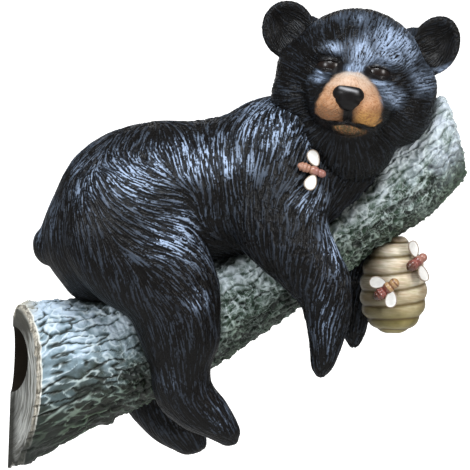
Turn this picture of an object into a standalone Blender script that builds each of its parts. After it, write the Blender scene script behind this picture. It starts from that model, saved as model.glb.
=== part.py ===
# A black bear cub lying over a tree branch, with a beehive under the branch and three bees.
# Bear, branch and beehive are one casting, which hangs on a tree trunk by the branch's flat butt end.
# X runs along the branch away from the trunk, -Y faces the viewer, +Z is up.
# The origin is on the flat butt face, above the hollow that takes the hanger.

import math

import bmesh
import bpy
from mathutils import Matrix, Vector, noise
from mathutils.bvhtree import BVHTree

# Driving dimensions, in metres and degrees.
FIGURE_HEIGHT = 0.333
BUTT_HALF_HEIGHT = 0.059
BUTT_HALF_DEPTH = 0.042
BUTT_TOP_ROUND = 0.009
BRANCH_END_HALF_HEIGHT = 0.030
BRANCH_END_HALF_DEPTH = 0.027
BRANCH_END_BULGE = 0.004
BARK_RELIEF = 0.0022
BARK_PLATE = 0.013
TRUNK_FACE_EDGE = 0.002
FRONT_BEVEL_ANGLE = 30.0
HOLLOW_RADIUS = 0.023
HOLLOW_DEPTH = 0.070
HOLLOW_DROP = 0.030
HIVE_RADIUS = 0.0232
HIVE_HEIGHT = 0.0685
HIVE_SEAT = 0.001
HIVE_COILS = 8
HIVE_COIL_RELIEF = 0.0013
LOCK_RELIEF = 0.0022
LOCK_WIDTH = 0.0095
LOCK_LENGTH = 0.028
BEE_LENGTH = 0.0205
BEE_BODY_RADIUS = 0.0033
BEE_WING_LENGTH = 0.0112
BEE_WING_WIDTH = 0.0092
BEE_WING_THICKNESS = 0.0016
SEAT_GAP = 0.0003

# Fineness of the faceted solids.
CASTING_TRIANGLES = 8800
BEE_TRIANGLES = 300
FACE_FINENESS = 0.000012
FINE_REACH = 15.0
FINE_FADE = 50.0
BODY_VOXEL = 0.0024
CASTING_VOXEL = 0.0019
BEE_VOXEL = 0.00042

# The bear's pose and proportions are shares of its own height: the tables below are drawn
# at a height of DRAWN_HEIGHT, and one drawn unit is UNIT metres long.
DRAWN_HEIGHT = 333.0
UNIT = FIGURE_HEIGHT / DRAWN_HEIGHT

# A form is a row of ribs. Each rib is an ellipse: the two ends of its axis in the side view
# (x, z and x, z), its centre's place across the branch (y) and its half depth.
TORSO = [
    (17, 62, 22, 39, 0, 16),
    (24, 82, 31, 27, 0, 36),
    (38, 111, 45, 13, 0, 49),
    (60, 129, 66, 11, 0, 56),
    (91, 139, 94, 22, 0, 59),
    (122, 141, 120, 35, 0, 59),
    (143, 146, 147, 43, 0, 57),
    (160, 156, 172, 47, -1, 54),
    (175, 160, 202, 57, -3, 50),
    (189, 162, 226, 72, -6, 44),
    (207, 162, 241, 90, -10, 36),
]
NEAR_HIND_LEG = [
    (48, 96, 104, 91, -38, 20),
    (37, 72, 126, 68, -41, 26),
    (36, 51, 135, 51, -42, 28),
    (46, 31, 142, 34, -43, 28),
    (62, 15, 144, 20, -43, 26),
    (82, 3, 145, 5, -42, 24),
    (91, -15, 145, -13, -41, 22),
    (98, -31, 140, -28, -38, 20),
    (100, -45, 141, -40, -34, 19),
    (106, -59, 150, -51, -31, 18),
    (121, -71, 157, -62, -29, 16),
    (136, -77, 162, -73, -27, 13),
    (148, -82, 160, -78, -26, 8),
]
FAR_HIND_LEG = [
    (40, 92, 100, 88, 38, 20),
    (33, 72, 120, 68, 42, 26),
    (34, 50, 130, 51, 43, 28),
    (40, 29, 135, 33, 43, 28),
    (54, 12, 135, 18, 43, 26),
    (65, -9, 130, -4, 42, 24),
    (68, -30, 124, -25, 40, 22),
    (72, -50, 122, -42, 36, 20),
    (80, -65, 127, -55, 33, 18),
    (90, -76, 133, -65, 31, 17),
    (102, -86, 137, -74, 29, 15),
    (117, -93, 138, -84, 28, 10),
]
NEAR_FORELEG = [
    (154, 121, 212, 130, -34, 20),
    (150, 96, 219, 104, -38, 24),
    (149, 76, 218, 86, -40, 26),
    (154, 59, 216, 72, -42, 26),
    (167, 44, 222, 57, -44, 25),
    (186, 29, 232, 38, -45, 22),
    (198, 18, 233, 26, -46, 20),
    (202, 10, 234, 14, -46, 17),
    (205, -3, 231, -2, -46, 14),
    (207, -16, 227, -16, -45, 12),
    (208, -26, 223, -26, -44, 9),
    (211, -31, 219, -31, -43, 5),
]
FAR_FORELEG = [
    (198, 96, 250, 98, 36, 22),
    (212, 72, 252, 66, 42, 22),
    (222, 50, 252, 46, 43, 20),
    (230, 29, 250, 29, 44, 16),
    (231, 10, 251, 9, 44, 14),
    (232, -4, 249, -5, 43, 11),
    (236, -12, 245, -13, 42, 6),
]
LIMBS = [TORSO, NEAR_HIND_LEG, FAR_HIND_LEG, NEAR_FORELEG, FAR_FORELEG]
# How far a form's round end reaches, as a share of its last rib's thinner half.
CAP_BULGE = 0.7

# A ball is a centre, three half sizes (x, y, z) and its lean in the side view, in degrees.
BODY_BALLS = [
    ((24, 0, 50), (11, 15, 14), 8),
    ((88, -34, 62), (46, 32, 50), 10),
    ((80, 34, 60), (46, 32, 50), 10),
    ((183, -26, 110), (38, 32, 44), -12),
    ((190, 26, 108), (38, 32, 44), -12),
    ((205, -12, 140), (34, 34, 34), 0),
]
# The head leans over to its left, so its own tables are drawn upright and then turned.
HEAD_CENTRE = (232, -26, 170)
HEAD_LEAN = 6.0
HEAD_TURN = -5.0
HEAD_BALLS = [
    ((0, 2, 5), (48, 46, 46), 0),
    ((-36, 4, 3), (20, 26, 24), 0),
    ((37, 6, 0), (20, 26, 24), 0),
    ((-32, 2, -14), (25, 28, 28), 0),
    ((32, 4, -14), (26, 28, 28), 0),
    ((0, -2, -40), (39, 32, 33), 0),
    ((-40, 13, 34), (14, 6, 13), 0),
    ((38, 19, 36), (14, 6, 13), 0),
    ((0, -30, -12), (31, 26, 26), 0),
    ((0, -44, -15), (22, 26, 19), 0),
    ((0, -50, -6), (12, 20, 10), 0),
    ((-9, -54, -22), (12.5, 15, 12), 0),
    ((10, -54, -21), (12.5, 15, 12), 0),
    ((1, -52, -34), (12, 14, 6), 0),
    ((0, -69, -12), (11, 6, 8), 0),
    ((-20, -30, 16), (14, 13, 10), 0),
    ((20, -30, 16), (14, 13, 10), 0),
    ((-20, -36, 8), (7, 6, 5), 0),
    ((20, -34, 8), (7, 6, 5), 0),
]
# An ear is a cupped disc: centre, half width, half height, half thickness, lean.
EARS = [
    ((-52.5, 8, 33), 18.5, 20, 5.5, -20),
    ((48.5, 14, 36), 18, 22.5, 5.5, 5),
]
EAR_CUP = 6.0
EAR_RIM = 0.82
MUZZLE_SPOT = (0, -58, -14)

# The branch's centre line in the side view (x, z) and each rib's lean from upright, in degrees.
BRANCH_LINE = [
    (-14, -50, 0),
    (0, -47, 0),
    (18, -43.5, 3),
    (43, -32, 18),
    (79, -20, 28),
    (124, 1, 33),
    (165, 28, 38),
    (199, 52, 38),
    (233, 80, 37),
    (268, 104, 35),
    (301, 135, 17),
]
BRANCH_TAPER = 3.3
BRANCH_SIDES = 96
BRANCH_STEPS = 12
END_ROWS = 8
END_FULLNESS = 0.35
# The butt's top edge: how the wear fades, and how the bark's plates and cracks share its relief.
BUTT_WEAR_POWER = 2.4
CRACK_WIDTH = 0.35
BARK_LEVEL = -0.6
BARK_SWELL = 0.5
BARK_SWELL_SPAN = 2.2
# The hive's axis: its distance along the branch (x) and its place across it (y).
HIVE_STATION = (265.5, 5)
HIVE_SIDES = 64
HIVE_ROWS_PER_COIL = 10
# The shares of the hive's height over which its crown and its foot round off, and the foot's fullness.
HIVE_CROWN = 0.52
HIVE_FOOT = 0.45
HIVE_FOOT_POWER = 2.6
COIL_LEVEL = -0.6

# Where the bees sit: a point inside the shoulder (x, y, z), and for each bee on the hive its
# bearing round the hive from the viewer's side, its height as a share of the hive's, and its heading.
SHOULDER_BEE_SPOT = (203, -30, 109)
SHOULDER_BEE_HEADING = -18.0
HIVE_BEES = [
    ("bee_on_hive_front", -10.0, 0.43, 34.0),
    ("bee_on_hive_side", 43.0, 0.72, 33.0),
]

# A bee's abdomen, thorax and head: place along the body and half length, as shares of the bee's
# length, and radius as a share of the body's. A wing's ribs: place and width, as shares of the wing's.
BEE_SEGMENTS = [(-0.27, 0.27, 1.0), (0.06, 0.17, 0.92), (0.33, 0.15, 0.75)]
BEE_WING_RIBS = [(0.0, 0.18), (0.3, 0.62), (0.62, 1.0), (0.85, 0.82), (1.0, 0.25)]
# The part of a bee's length out to which the skin under it is felt, so that it sits level.
BEE_PATCH = 0.35

# The coat's lie: a point on the near side (x, y, z) and the way the hair runs there (x, y, z).
COAT = [
    ((25, -10, 60), (-0.3, 0.0, -1.0)),
    ((45, -40, 100), (-0.7, 0.0, -0.8)),
    ((80, -40, 130), (-0.1, 0.0, -1.0)),
    ((60, -55, 70), (0.1, 0.0, -1.0)),
    ((85, -60, 90), (0.8, 0.0, -0.5)),
    ((115, -60, 75), (1.0, 0.0, -0.3)),
    ((125, -58, 50), (0.7, 0.0, -0.8)),
    ((75, -60, 30), (0.4, 0.0, -1.0)),
    ((120, -60, 10), (0.0, 0.0, -1.0)),
    ((118, -50, -30), (0.1, 0.0, -1.0)),
    ((145, -40, -65), (0.7, 0.0, -0.8)),
    ((120, -55, 125), (0.1, 0.0, -1.0)),
    ((150, -60, 100), (0.0, 0.0, -1.0)),
    ((160, -50, 140), (-0.2, 0.0, -1.0)),
    ((185, -58, 120), (-0.4, 0.0, -1.0)),
    ((175, -62, 80), (-0.2, 0.0, -1.0)),
    ((200, -66, 70), (0.2, 0.0, -1.0)),
    ((215, -60, 20), (0.1, 0.0, -1.0)),
    ((216, -55, -20), (0.0, 0.0, -1.0)),
]

# How far a guide rules the coat, how far the head's own lie reaches, and how it fades.
GUIDE_BLEND = 8.0
HEAD_REACH = 55.0
RUFF_BLEND = 20.0
STREAK_SAMPLES = 7
STREAK_GAIN = 2.6
# Where the coat grows short: how far out from the muzzle and the ears it starts to deepen, and how fast.
MUZZLE_REACH = 30.0
MUZZLE_FADE = 60.0
EAR_REACH = 18.0
EAR_FADE = 20.0
EAR_COAT = 0.1

SHARP_ANGLE = 50.0
SHADE = {
    "coat": ((0.012, 0.013, 0.020), 0.38),
    "bee": ((0.23, 0.055, 0.030), 0.40),
}


def lerp(a, b, t):
    return a + (b - a) * t


def curve_through(points, steps):
    """Rows of numbers read from a smooth curve through the given rows."""
    rows = []
    last = len(points) - 1
    for i in range(last):
        p0, p1 = points[max(i - 1, 0)], points[i]
        p2, p3 = points[i + 1], points[min(i + 2, last)]
        for k in range(steps):
            t = k / steps
            rows.append(tuple(
                0.5 * (2 * b + (c - a) * t + (2 * a - 5 * b + 4 * c - d) * t * t
                       + (3 * b - a - 3 * c + d) * t ** 3)
                for a, b, c, d in zip(p0, p1, p2, p3)))
    rows.append(tuple(points[last]))
    return rows


def skin_rings(bm, rings):
    """Closes a row of rings of points into one tube with filled ends."""
    grid = [[bm.verts.new(p) for p in ring] for ring in rings]
    count = len(grid[0])
    for a, b in zip(grid, grid[1:]):
        for k in range(count):
            n = (k + 1) % count
            bm.faces.new((a[k], a[n], b[n], b[k]))
    bm.faces.new(list(reversed(grid[0])))
    bm.faces.new(grid[-1])


def ellipse_ring(centre, axis_a, axis_b, count):
    return [centre + axis_a * math.cos(math.tau * k / count) + axis_b * math.sin(math.tau * k / count)
            for k in range(count)]


def add_limb(bm, ribs, scale, sides=28, steps=4, cap_rows=4):
    """Skins a row of ribs, with a round cap on each end."""
    rows = curve_through(ribs, steps)
    placed = []
    for xa, za, xb, zb, y, depth in rows:
        a, b = Vector((xa, y, za)) * scale, Vector((xb, y, zb)) * scale
        placed.append(((a + b) / 2, (a - b) / 2, Vector((0, depth * scale, 0))))
    rings = []
    for end, inner in ((0, 1), (-1, -2)):
        centre, axis_a, axis_b = placed[end]
        outward = (centre - placed[inner][0]).normalized()
        bulge = CAP_BULGE * min(axis_a.length, axis_b.length)
        cap = []
        for k in range(1, cap_rows):
            angle = math.pi / 2 * k / cap_rows
            cap.append(ellipse_ring(centre + outward * bulge * math.sin(angle),
                                    axis_a * math.cos(angle), axis_b * math.cos(angle), sides))
        if end == 0:
            rings += list(reversed(cap))
            rings += [ellipse_ring(c, u, v, sides) for c, u, v in placed]
        else:
            rings += cap
    skin_rings(bm, rings)


def add_ball(bm, centre, halves, turn, place=Matrix.Identity(4), scale=1.0):
    """Adds an ellipsoid, leaning in the side view by the turn given in degrees."""
    size = Matrix.Diagonal((*[h * scale for h in halves], 1))
    lean = Matrix.Rotation(math.radians(turn), 4, "Y")
    spot = Matrix.Translation(Vector(centre) * scale)
    bmesh.ops.create_uvsphere(bm, u_segments=28, v_segments=18, radius=1,
                              matrix=place @ spot @ lean @ size)


def head_place(scale):
    """The head's own frame: its centre, leaned over and turned a little to the viewer's left."""
    return (Matrix.Translation(Vector(HEAD_CENTRE) * scale)
            @ Matrix.Rotation(math.radians(HEAD_LEAN), 4, "Y")
            @ Matrix.Rotation(math.radians(HEAD_TURN), 4, "Z"))


def add_ear(bm, place, ear, scale):
    """Adds a round disc with a shallow cup pressed into its front."""
    centre, half_width, half_height, half_depth, lean = ear
    seat = place @ Matrix.Translation(Vector(centre) * scale) @ Matrix.Rotation(math.radians(lean), 4, "Y")
    rows, sides = 14, 28
    rings = []
    for i in range(1, rows):
        angle = math.pi * i / rows
        out, deep = math.sin(angle), -half_depth * math.cos(angle)
        if deep < 0:
            deep += EAR_CUP * max(0.0, 1 - (out / EAR_RIM) ** 2)
        rings.append([seat @ (Vector((half_width * out * math.cos(math.tau * k / sides), deep,
                                      half_height * out * math.sin(math.tau * k / sides))) * scale)
                      for k in range(sides)])
    skin_rings(bm, rings)


def object_from(bm, name):
    bmesh.ops.recalc_face_normals(bm, faces=bm.faces)
    mesh = bpy.data.meshes.new(name)
    bm.to_mesh(mesh)
    bm.free()
    obj = bpy.data.objects.new(name, mesh)
    bpy.context.collection.objects.link(obj)
    return obj


def bake_modifiers(obj):
    """Puts the evaluated mesh in place of the mesh and its modifiers."""
    graph = bpy.context.evaluated_depsgraph_get()
    mesh = bpy.data.meshes.new_from_object(obj.evaluated_get(graph))
    obj.modifiers.clear()
    obj.data = mesh


def fuse(obj, voxel, smooth_rounds=0):
    """Makes overlapping forms one skin and softens the creases between them."""
    remesh = obj.modifiers.new("fuse", "REMESH")
    remesh.mode = "VOXEL"
    remesh.voxel_size = voxel
    if smooth_rounds:
        soften = obj.modifiers.new("soften", "SMOOTH")
        soften.factor = 0.5
        soften.iterations = smooth_rounds
    bake_modifiers(obj)


def thin_out(obj, triangles, fine_spot=None):
    """Leaves about the given number of triangles, and more of them round the fine spot."""
    obj.data.calc_loop_triangles()
    cut = obj.modifiers.new("thin_out", "DECIMATE")
    cut.ratio = min(1.0, triangles / max(1, len(obj.data.loop_triangles)))
    cut.use_collapse_triangulate = True
    if fine_spot:
        plain = obj.vertex_groups.new(name="plain")
        for vertex in obj.data.vertices:
            away = (vertex.co - fine_spot).length / UNIT
            plain.add([vertex.index], min(1.0, max(0.0, (away - FINE_REACH) / FINE_FADE)), "REPLACE")
        cut.vertex_group = plain.name
        cut.vertex_group_factor = FACE_FINENESS
    bake_modifiers(obj)


def coat_flow(point, normal):
    """The way the hair runs: the near guides' mean on the body, away from the muzzle on the head."""
    drawn = point / UNIT
    near_side = Vector((drawn.x, -abs(drawn.y), drawn.z))
    flow = Vector((0, 0, 0))
    for spot, way in COAT:
        flow += Vector(way) / ((near_side - Vector(spot)).length_squared + GUIDE_BLEND ** 2)
    off_head = ((drawn - Vector(HEAD_CENTRE)).length - HEAD_REACH) / RUFF_BLEND
    if off_head < 1:
        away = point - face_spots()[0]
        flow = lerp(away.normalized(), flow.normalized(), max(0.0, off_head))
    flow -= normal * flow.dot(normal)
    if flow.length < 1e-6:
        flow = normal.orthogonal()
    return flow.normalized()


def streak(point, flow, width, length):
    """Noise drawn out along the flow, from -1 to 1."""
    total = 0.0
    for k in range(STREAK_SAMPLES):
        shift = (k / (STREAK_SAMPLES - 1) - 0.5) * length
        total += noise.noise((point + flow * shift) / width)
    return max(-1.0, min(1.0, STREAK_GAIN * total / STREAK_SAMPLES))


def face_spots():
    """The middle of the muzzle and of each ear, where the coat is short."""
    place = head_place(UNIT)
    muzzle = place @ (Vector(MUZZLE_SPOT) * UNIT)
    ears = [place @ (Vector(centre) * UNIT) for centre, *rest in EARS]
    return muzzle, ears


def coat_depth(point):
    """How deep the locks are, from 0 on the muzzle and the ears to 1 on the body."""
    muzzle, ears = face_spots()
    depth = min(1.0, max(0.0, ((point - muzzle).length / UNIT - MUZZLE_REACH) / MUZZLE_FADE))
    for ear in ears:
        depth = min(depth, max(EAR_COAT, ((point - ear).length / UNIT - EAR_REACH) / EAR_FADE))
    return depth


def raise_locks(obj):
    """Raises the coat's locks along the lie of the hair, lower on the face and the ears."""
    mesh = obj.data
    places = [v.co.copy() for v in mesh.vertices]
    normals = [v.normal.copy() for v in mesh.vertices]
    for vertex, place, normal in zip(mesh.vertices, places, normals):
        depth = coat_depth(place)
        if depth > 0.0:
            flow = coat_flow(place, normal)
            vertex.co = place + normal * LOCK_RELIEF * depth * streak(place, flow, LOCK_WIDTH, LOCK_LENGTH)


def build_bear():
    bm = bmesh.new()
    for limb in LIMBS:
        add_limb(bm, limb, UNIT)
    for centre, halves, turn in BODY_BALLS:
        add_ball(bm, centre, halves, turn, scale=UNIT)
    place = head_place(UNIT)
    for centre, halves, turn in HEAD_BALLS:
        add_ball(bm, centre, halves, turn, place, UNIT)
    for ear in EARS:
        add_ear(bm, place, ear, UNIT)
    bear = object_from(bm, "bear")
    fuse(bear, BODY_VOXEL, smooth_rounds=8)
    raise_locks(bear)
    return bear


def bark_height(point):
    """Plates of bark with cracks between them."""
    near, second = noise.voronoi(point / BARK_PLATE)[0][:2]
    crack = min(1.0, (second - near) / CRACK_WIDTH)
    swell = BARK_SWELL * noise.noise(point / (BARK_SWELL_SPAN * BARK_PLATE))
    return BARK_RELIEF * (crack + BARK_LEVEL + swell)


def branch_rows():
    """Centre, lean, half height and half depth of each of the branch's ribs."""
    line = curve_through([(x * UNIT, z * UNIT, lean) for x, z, lean in BRANCH_LINE], BRANCH_STEPS)
    runs = [line[0][0]]
    for a, b in zip(line, line[1:]):
        runs.append(runs[-1] + math.dist(a[:2], b[:2]))
    rows = []
    for (x, z, lean), run in zip(line, runs):
        thick = min(1.0, 1 - run / runs[-1]) ** BRANCH_TAPER
        worn = BUTT_TOP_ROUND * max(0.0, 1 - max(x, 0.0) / BUTT_TOP_ROUND) ** BUTT_WEAR_POWER
        tall = lerp(BRANCH_END_HALF_HEIGHT, BUTT_HALF_HEIGHT, thick) - worn / 2
        deep = lerp(BRANCH_END_HALF_DEPTH, BUTT_HALF_DEPTH, thick) - worn / 3
        rows.append((x, z - worn / 2, math.radians(lean), tall, deep))
    return rows


def build_branch():
    """A tube along the branch's line, with plates of bark and a slightly domed far end."""
    rows = branch_rows()
    x, z, lean, tall, deep = rows[-1]
    for k in range(1, END_ROWS):
        angle = math.pi / 2 * k / END_ROWS
        shrink = math.cos(angle) ** END_FULLNESS
        bulge = BRANCH_END_BULGE * math.sin(angle)
        rows.append((x + bulge * math.cos(lean), z + bulge * math.sin(lean), lean,
                     tall * shrink, deep * shrink))
    rings = []
    for x, z, lean, tall, deep in rows:
        centre = Vector((x, 0, z))
        up = Vector((-math.sin(lean), 0, math.cos(lean)))
        ring = ellipse_ring(centre, up * tall, Vector((0, deep, 0)), BRANCH_SIDES)
        rings.append([p + (p - centre).normalized() * bark_height(p) for p in ring])
    bm = bmesh.new()
    skin_rings(bm, rings)
    return object_from(bm, "branch")


def hive_axis():
    """The point under the branch where the hive's top is seated, on its upright axis."""
    x, y = HIVE_STATION[0] * UNIT, HIVE_STATION[1] * UNIT
    near = min(branch_rows(), key=lambda row: abs(row[0] - x))
    lowest = near[1] - near[3] / math.cos(near[2])
    return Vector((x, y, lowest + HIVE_SEAT))


def hive_profile():
    """The hive's radius and drop from its top, row by row, with its coils spaced along its skin."""
    rows = HIVE_COILS * HIVE_ROWS_PER_COIL
    smooth = []
    for i in range(rows + 1):
        share = (1 - math.cos(math.pi * i / rows)) / 2
        crown = math.sqrt(1 - max(0.0, 1 - share / HIVE_CROWN) ** 2)
        foot = math.sqrt(1 - max(0.0, 1 - (1 - share) / HIVE_FOOT) ** HIVE_FOOT_POWER)
        smooth.append(Vector((HIVE_RADIUS * crown * foot, HIVE_HEIGHT * share)))
    runs = [0.0]
    for a, b in zip(smooth, smooth[1:]):
        runs.append(runs[-1] + (b - a).length)
    profile = []
    for i in range(1, rows):
        along = (smooth[i + 1] - smooth[i - 1]).normalized()
        coil = abs(math.sin(math.pi * HIVE_COILS * runs[i] / runs[-1]))
        profile.append(smooth[i] + Vector((along.y, -along.x)) * HIVE_COIL_RELIEF * (coil + COIL_LEVEL))
    return profile


def build_hive():
    """A turned skep: a stack of coils that rounds off to its foot."""
    top = hive_axis()
    rings = []
    for radius, drop in hive_profile():
        rings.append(ellipse_ring(top - Vector((0, 0, drop)),
                                  Vector((radius, 0, 0)), Vector((0, radius, 0)), HIVE_SIDES))
    bm = bmesh.new()
    skin_rings(bm, rings)
    return object_from(bm, "hive")


def join(objects, name):
    """Puts several objects' meshes into one object."""
    bm = bmesh.new()
    for obj in objects:
        bm.from_mesh(obj.data)
        bpy.data.objects.remove(obj)
    return object_from(bm, name)


def cut_away(obj, cutter):
    """Cuts one solid out of another, with the exact solver."""
    cutter.hide_render = True
    cutter.display_type = "WIRE"
    cut = obj.modifiers.new("cut", "BOOLEAN")
    cut.operation = "DIFFERENCE"
    cut.solver = "EXACT"
    cut.object = cutter
    bake_modifiers(obj)
    bpy.data.objects.remove(cutter)


def trunk_cutter():
    """All that lies behind the flat trunk face and in front of the bevelled end grain."""
    reach = 3 * BUTT_HALF_HEIGHT
    slope = math.tan(math.radians(FRONT_BEVEL_ANGLE))
    outline = [(0, -TRUNK_FACE_EDGE), (0, reach), (-reach, reach), (-reach, -reach),
               ((reach - TRUNK_FACE_EDGE) * slope, -reach)]
    bm = bmesh.new()
    floor = bm.faces.new([bm.verts.new((x, y, -2 * reach)) for x, y in outline])
    grown = bmesh.ops.extrude_face_region(bm, geom=[floor])
    top = [v for v in grown["geom"] if isinstance(v, bmesh.types.BMVert)]
    bmesh.ops.translate(bm, vec=(0, 0, 3 * reach), verts=top)
    return object_from(bm, "trunk_cutter")


def hollow_cutter():
    """The round hollow in the butt end, which takes the hanger."""
    bm = bmesh.new()
    bmesh.ops.create_cone(bm, cap_ends=True, segments=32, radius1=HOLLOW_RADIUS, radius2=HOLLOW_RADIUS,
                          depth=2 * HOLLOW_DEPTH,
                          matrix=Matrix.Translation((0, -TRUNK_FACE_EDGE, -HOLLOW_DROP))
                          @ Matrix.Rotation(math.pi / 2, 4, "Y"))
    return object_from(bm, "hollow_cutter")


def build_casting():
    casting = join([build_bear(), build_branch(), build_hive()], "bear_on_branch")
    fuse(casting, CASTING_VOXEL)
    thin_out(casting, CASTING_TRIANGLES, face_spots()[0])
    cut_away(casting, trunk_cutter())
    cut_away(casting, hollow_cutter())
    return casting


def build_bee(name):
    """A small bee: three body segments and two teardrop wings, lying along X with its back to +Z."""
    bm = bmesh.new()
    for along, long_share, round_share in BEE_SEGMENTS:
        radius = BEE_BODY_RADIUS * round_share
        add_ball(bm, (along * BEE_LENGTH, 0, 0), (long_share * BEE_LENGTH, radius, radius), 0)
    root = BEE_BODY_RADIUS / 2
    for side in (-1, 1):
        ribs = []
        for share, wide in BEE_WING_RIBS:
            out = side * (root + share * BEE_WING_LENGTH)
            half = wide * BEE_WING_WIDTH / 2
            ribs.append((half, out, -half, out, root, BEE_WING_THICKNESS / 2))
        wing = bmesh.new()
        add_limb(wing, ribs, 1.0, sides=20)
        for vertex in wing.verts:
            x, y, z = vertex.co
            vertex.co = (x, z, y)
        part = object_from(wing, "wing")
        bm.from_mesh(part.data)
        bpy.data.objects.remove(part)
    bee = object_from(bm, name)
    fuse(bee, BEE_VOXEL, smooth_rounds=3)
    thin_out(bee, BEE_TRIANGLES)
    return bee


def seat_bee(bee, casting, outside, toward, heading):
    """Sets a bee on the casting where a line from outside first meets it, one gap clear of it."""
    tree = BVHTree.FromPolygons([v.co for v in casting.data.vertices],
                                [p.vertices for p in casting.data.polygons])
    aim = (toward - outside).normalized()
    spot = tree.ray_cast(outside, aim)[0]
    patch = [tree.ray_cast(outside + shift, aim)[1] for shift in patch_shifts(aim)]
    normal = sum((n for n in patch if n is not None), Vector()).normalized()
    across = normal.cross(Vector((0, 0, 1))).normalized()
    upward = across.cross(normal).normalized()
    turn = math.radians(heading)
    along = across * -math.cos(turn) + upward * math.sin(turn)
    frame = Matrix((along, normal.cross(along), normal)).transposed().to_4x4()
    bee.data.transform(Matrix.Translation(spot + normal * BEE_LENGTH) @ frame)
    drops = []
    for vertex in bee.data.vertices:
        hit = tree.ray_cast(vertex.co, -normal, 3 * BEE_LENGTH)
        if hit[0] is not None:
            drops.append(hit[3])
    own = BVHTree.FromPolygons([v.co for v in bee.data.vertices], [p.vertices for p in bee.data.polygons])
    for vertex in casting.data.vertices:
        if (vertex.co - spot).length < 1.5 * BEE_LENGTH:
            hit = own.ray_cast(vertex.co, normal, 3 * BEE_LENGTH)
            if hit[0] is not None:
                drops.append(hit[3])
    bee.data.transform(Matrix.Translation(-normal * (min(drops) - SEAT_GAP)))


def patch_shifts(aim):
    """Small steps to each side of a line, over the patch that a bee covers."""
    side = aim.orthogonal().normalized() * BEE_PATCH * BEE_LENGTH
    return [Matrix.Rotation(math.tau * k / 6, 3, aim) @ side for k in range(6)] + [Vector((0, 0, 0))]


def material(name, shade):
    colour, roughness = shade
    made = bpy.data.materials.new(name)
    made.use_nodes = True
    surface = made.node_tree.nodes["Principled BSDF"]
    surface.inputs["Base Color"].default_value = (*colour, 1)
    surface.inputs["Roughness"].default_value = roughness
    surface.inputs["Metallic"].default_value = 0.0
    return made


def finish(obj, shade):
    obj.data.materials.clear()
    obj.data.materials.append(material(obj.name, shade))
    obj.data.shade_smooth()
    obj.data.set_sharp_from_angle(angle=math.radians(SHARP_ANGLE))


def main():
    for obj in list(bpy.data.objects):
        bpy.data.objects.remove(obj)
    casting = build_casting()
    finish(casting, SHADE["coat"])
    hive = hive_axis() - Vector((0, 0, HIVE_HEIGHT))
    shoulder = Vector(SHOULDER_BEE_SPOT) * UNIT
    seats = {"bee_on_shoulder": (shoulder + Vector((0, -FIGURE_HEIGHT, 0)), shoulder, SHOULDER_BEE_HEADING)}
    for name, bearing, height, heading in HIVE_BEES:
        spot = hive + Vector((0, 0, height * HIVE_HEIGHT))
        outward = Vector((math.sin(math.radians(bearing)), -math.cos(math.radians(bearing)), 0))
        seats[name] = (spot + outward * 3 * HIVE_RADIUS, spot, heading)
    for name, (outside, toward, heading) in seats.items():
        bee = build_bee(name)
        seat_bee(bee, casting, outside, toward, heading)
        finish(bee, SHADE["bee"])


main()
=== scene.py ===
# A black bear cub hugging a tree branch, with a beehive and three bees: the looks of the painted cast resin.
# Tables are in millimetres in the row frame: x along the branch, -y to the viewer, z up.
import math

import bmesh
import bpy
import numpy as np
from mathutils import Matrix, Vector
from mathutils.bvhtree import BVHTree


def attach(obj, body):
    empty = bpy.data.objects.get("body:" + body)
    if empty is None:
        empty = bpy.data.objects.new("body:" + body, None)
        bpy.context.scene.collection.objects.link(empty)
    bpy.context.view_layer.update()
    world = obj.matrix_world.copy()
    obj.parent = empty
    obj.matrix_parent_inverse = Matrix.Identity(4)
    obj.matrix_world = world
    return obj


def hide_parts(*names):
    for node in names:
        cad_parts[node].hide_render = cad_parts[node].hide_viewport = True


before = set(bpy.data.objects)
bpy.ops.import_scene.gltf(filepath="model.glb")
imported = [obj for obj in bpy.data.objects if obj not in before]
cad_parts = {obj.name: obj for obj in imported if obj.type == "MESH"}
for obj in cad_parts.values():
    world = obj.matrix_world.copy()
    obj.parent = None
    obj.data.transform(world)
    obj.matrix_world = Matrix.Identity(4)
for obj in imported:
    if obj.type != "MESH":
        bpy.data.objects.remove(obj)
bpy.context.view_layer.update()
mm = 0.001


# Small helpers for meshes

def curveThrough(points, steps):
    # rows of numbers on a smooth curve through the given rows
    rows, last = [], len(points) - 1
    for i in range(last):
        p0, p1 = points[max(i - 1, 0)], points[i]
        p2, p3 = points[i + 1], points[min(i + 2, last)]
        for k in range(steps):
            t = k / steps
            rows.append(tuple(
                0.5 * (2 * b + (c - a) * t + (2 * a - 5 * b + 4 * c - d) * t * t
                       + (3 * b - a - 3 * c + d) * t ** 3)
                for a, b, c, d in zip(p0, p1, p2, p3)))
    rows.append(tuple(points[last]))
    return rows


def ringMatrix(centre, axisA, axisB):
    # places a unit circle so that its x and y axes become the two half axes
    along = axisA.cross(axisB).normalized() * 0.01
    made = Matrix((axisA, axisB, along)).transposed().to_4x4()
    made.translation = centre
    return made


def loft(bm, rings, sides):
    # rolls a grid into a tube through the rings, welds its seam and closes both ends
    layer = bm.verts.layers.int.get("ring") or bm.verts.layers.int.new("ring")
    last = len(rings) - 1
    made = bmesh.ops.create_grid(bm, x_segments=last, y_segments=sides, size=1)["verts"]
    seam = [v for v in made if abs(v.co.y) > 0.9999]
    for v in made:
        turn = (v.co.y + 1) / 2 * math.tau
        v[layer] = round((v.co.x + 1) / 2 * last)
        v.co = rings[v[layer]] @ Vector((math.cos(turn), math.sin(turn), 0))
    bmesh.ops.remove_doubles(bm, verts=seam, dist=1e-7)
    rim = {e for v in made if v.is_valid for e in v.link_edges if len(e.link_faces) == 1}
    bmesh.ops.holes_fill(bm, edges=list(rim), sides=0)


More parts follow.
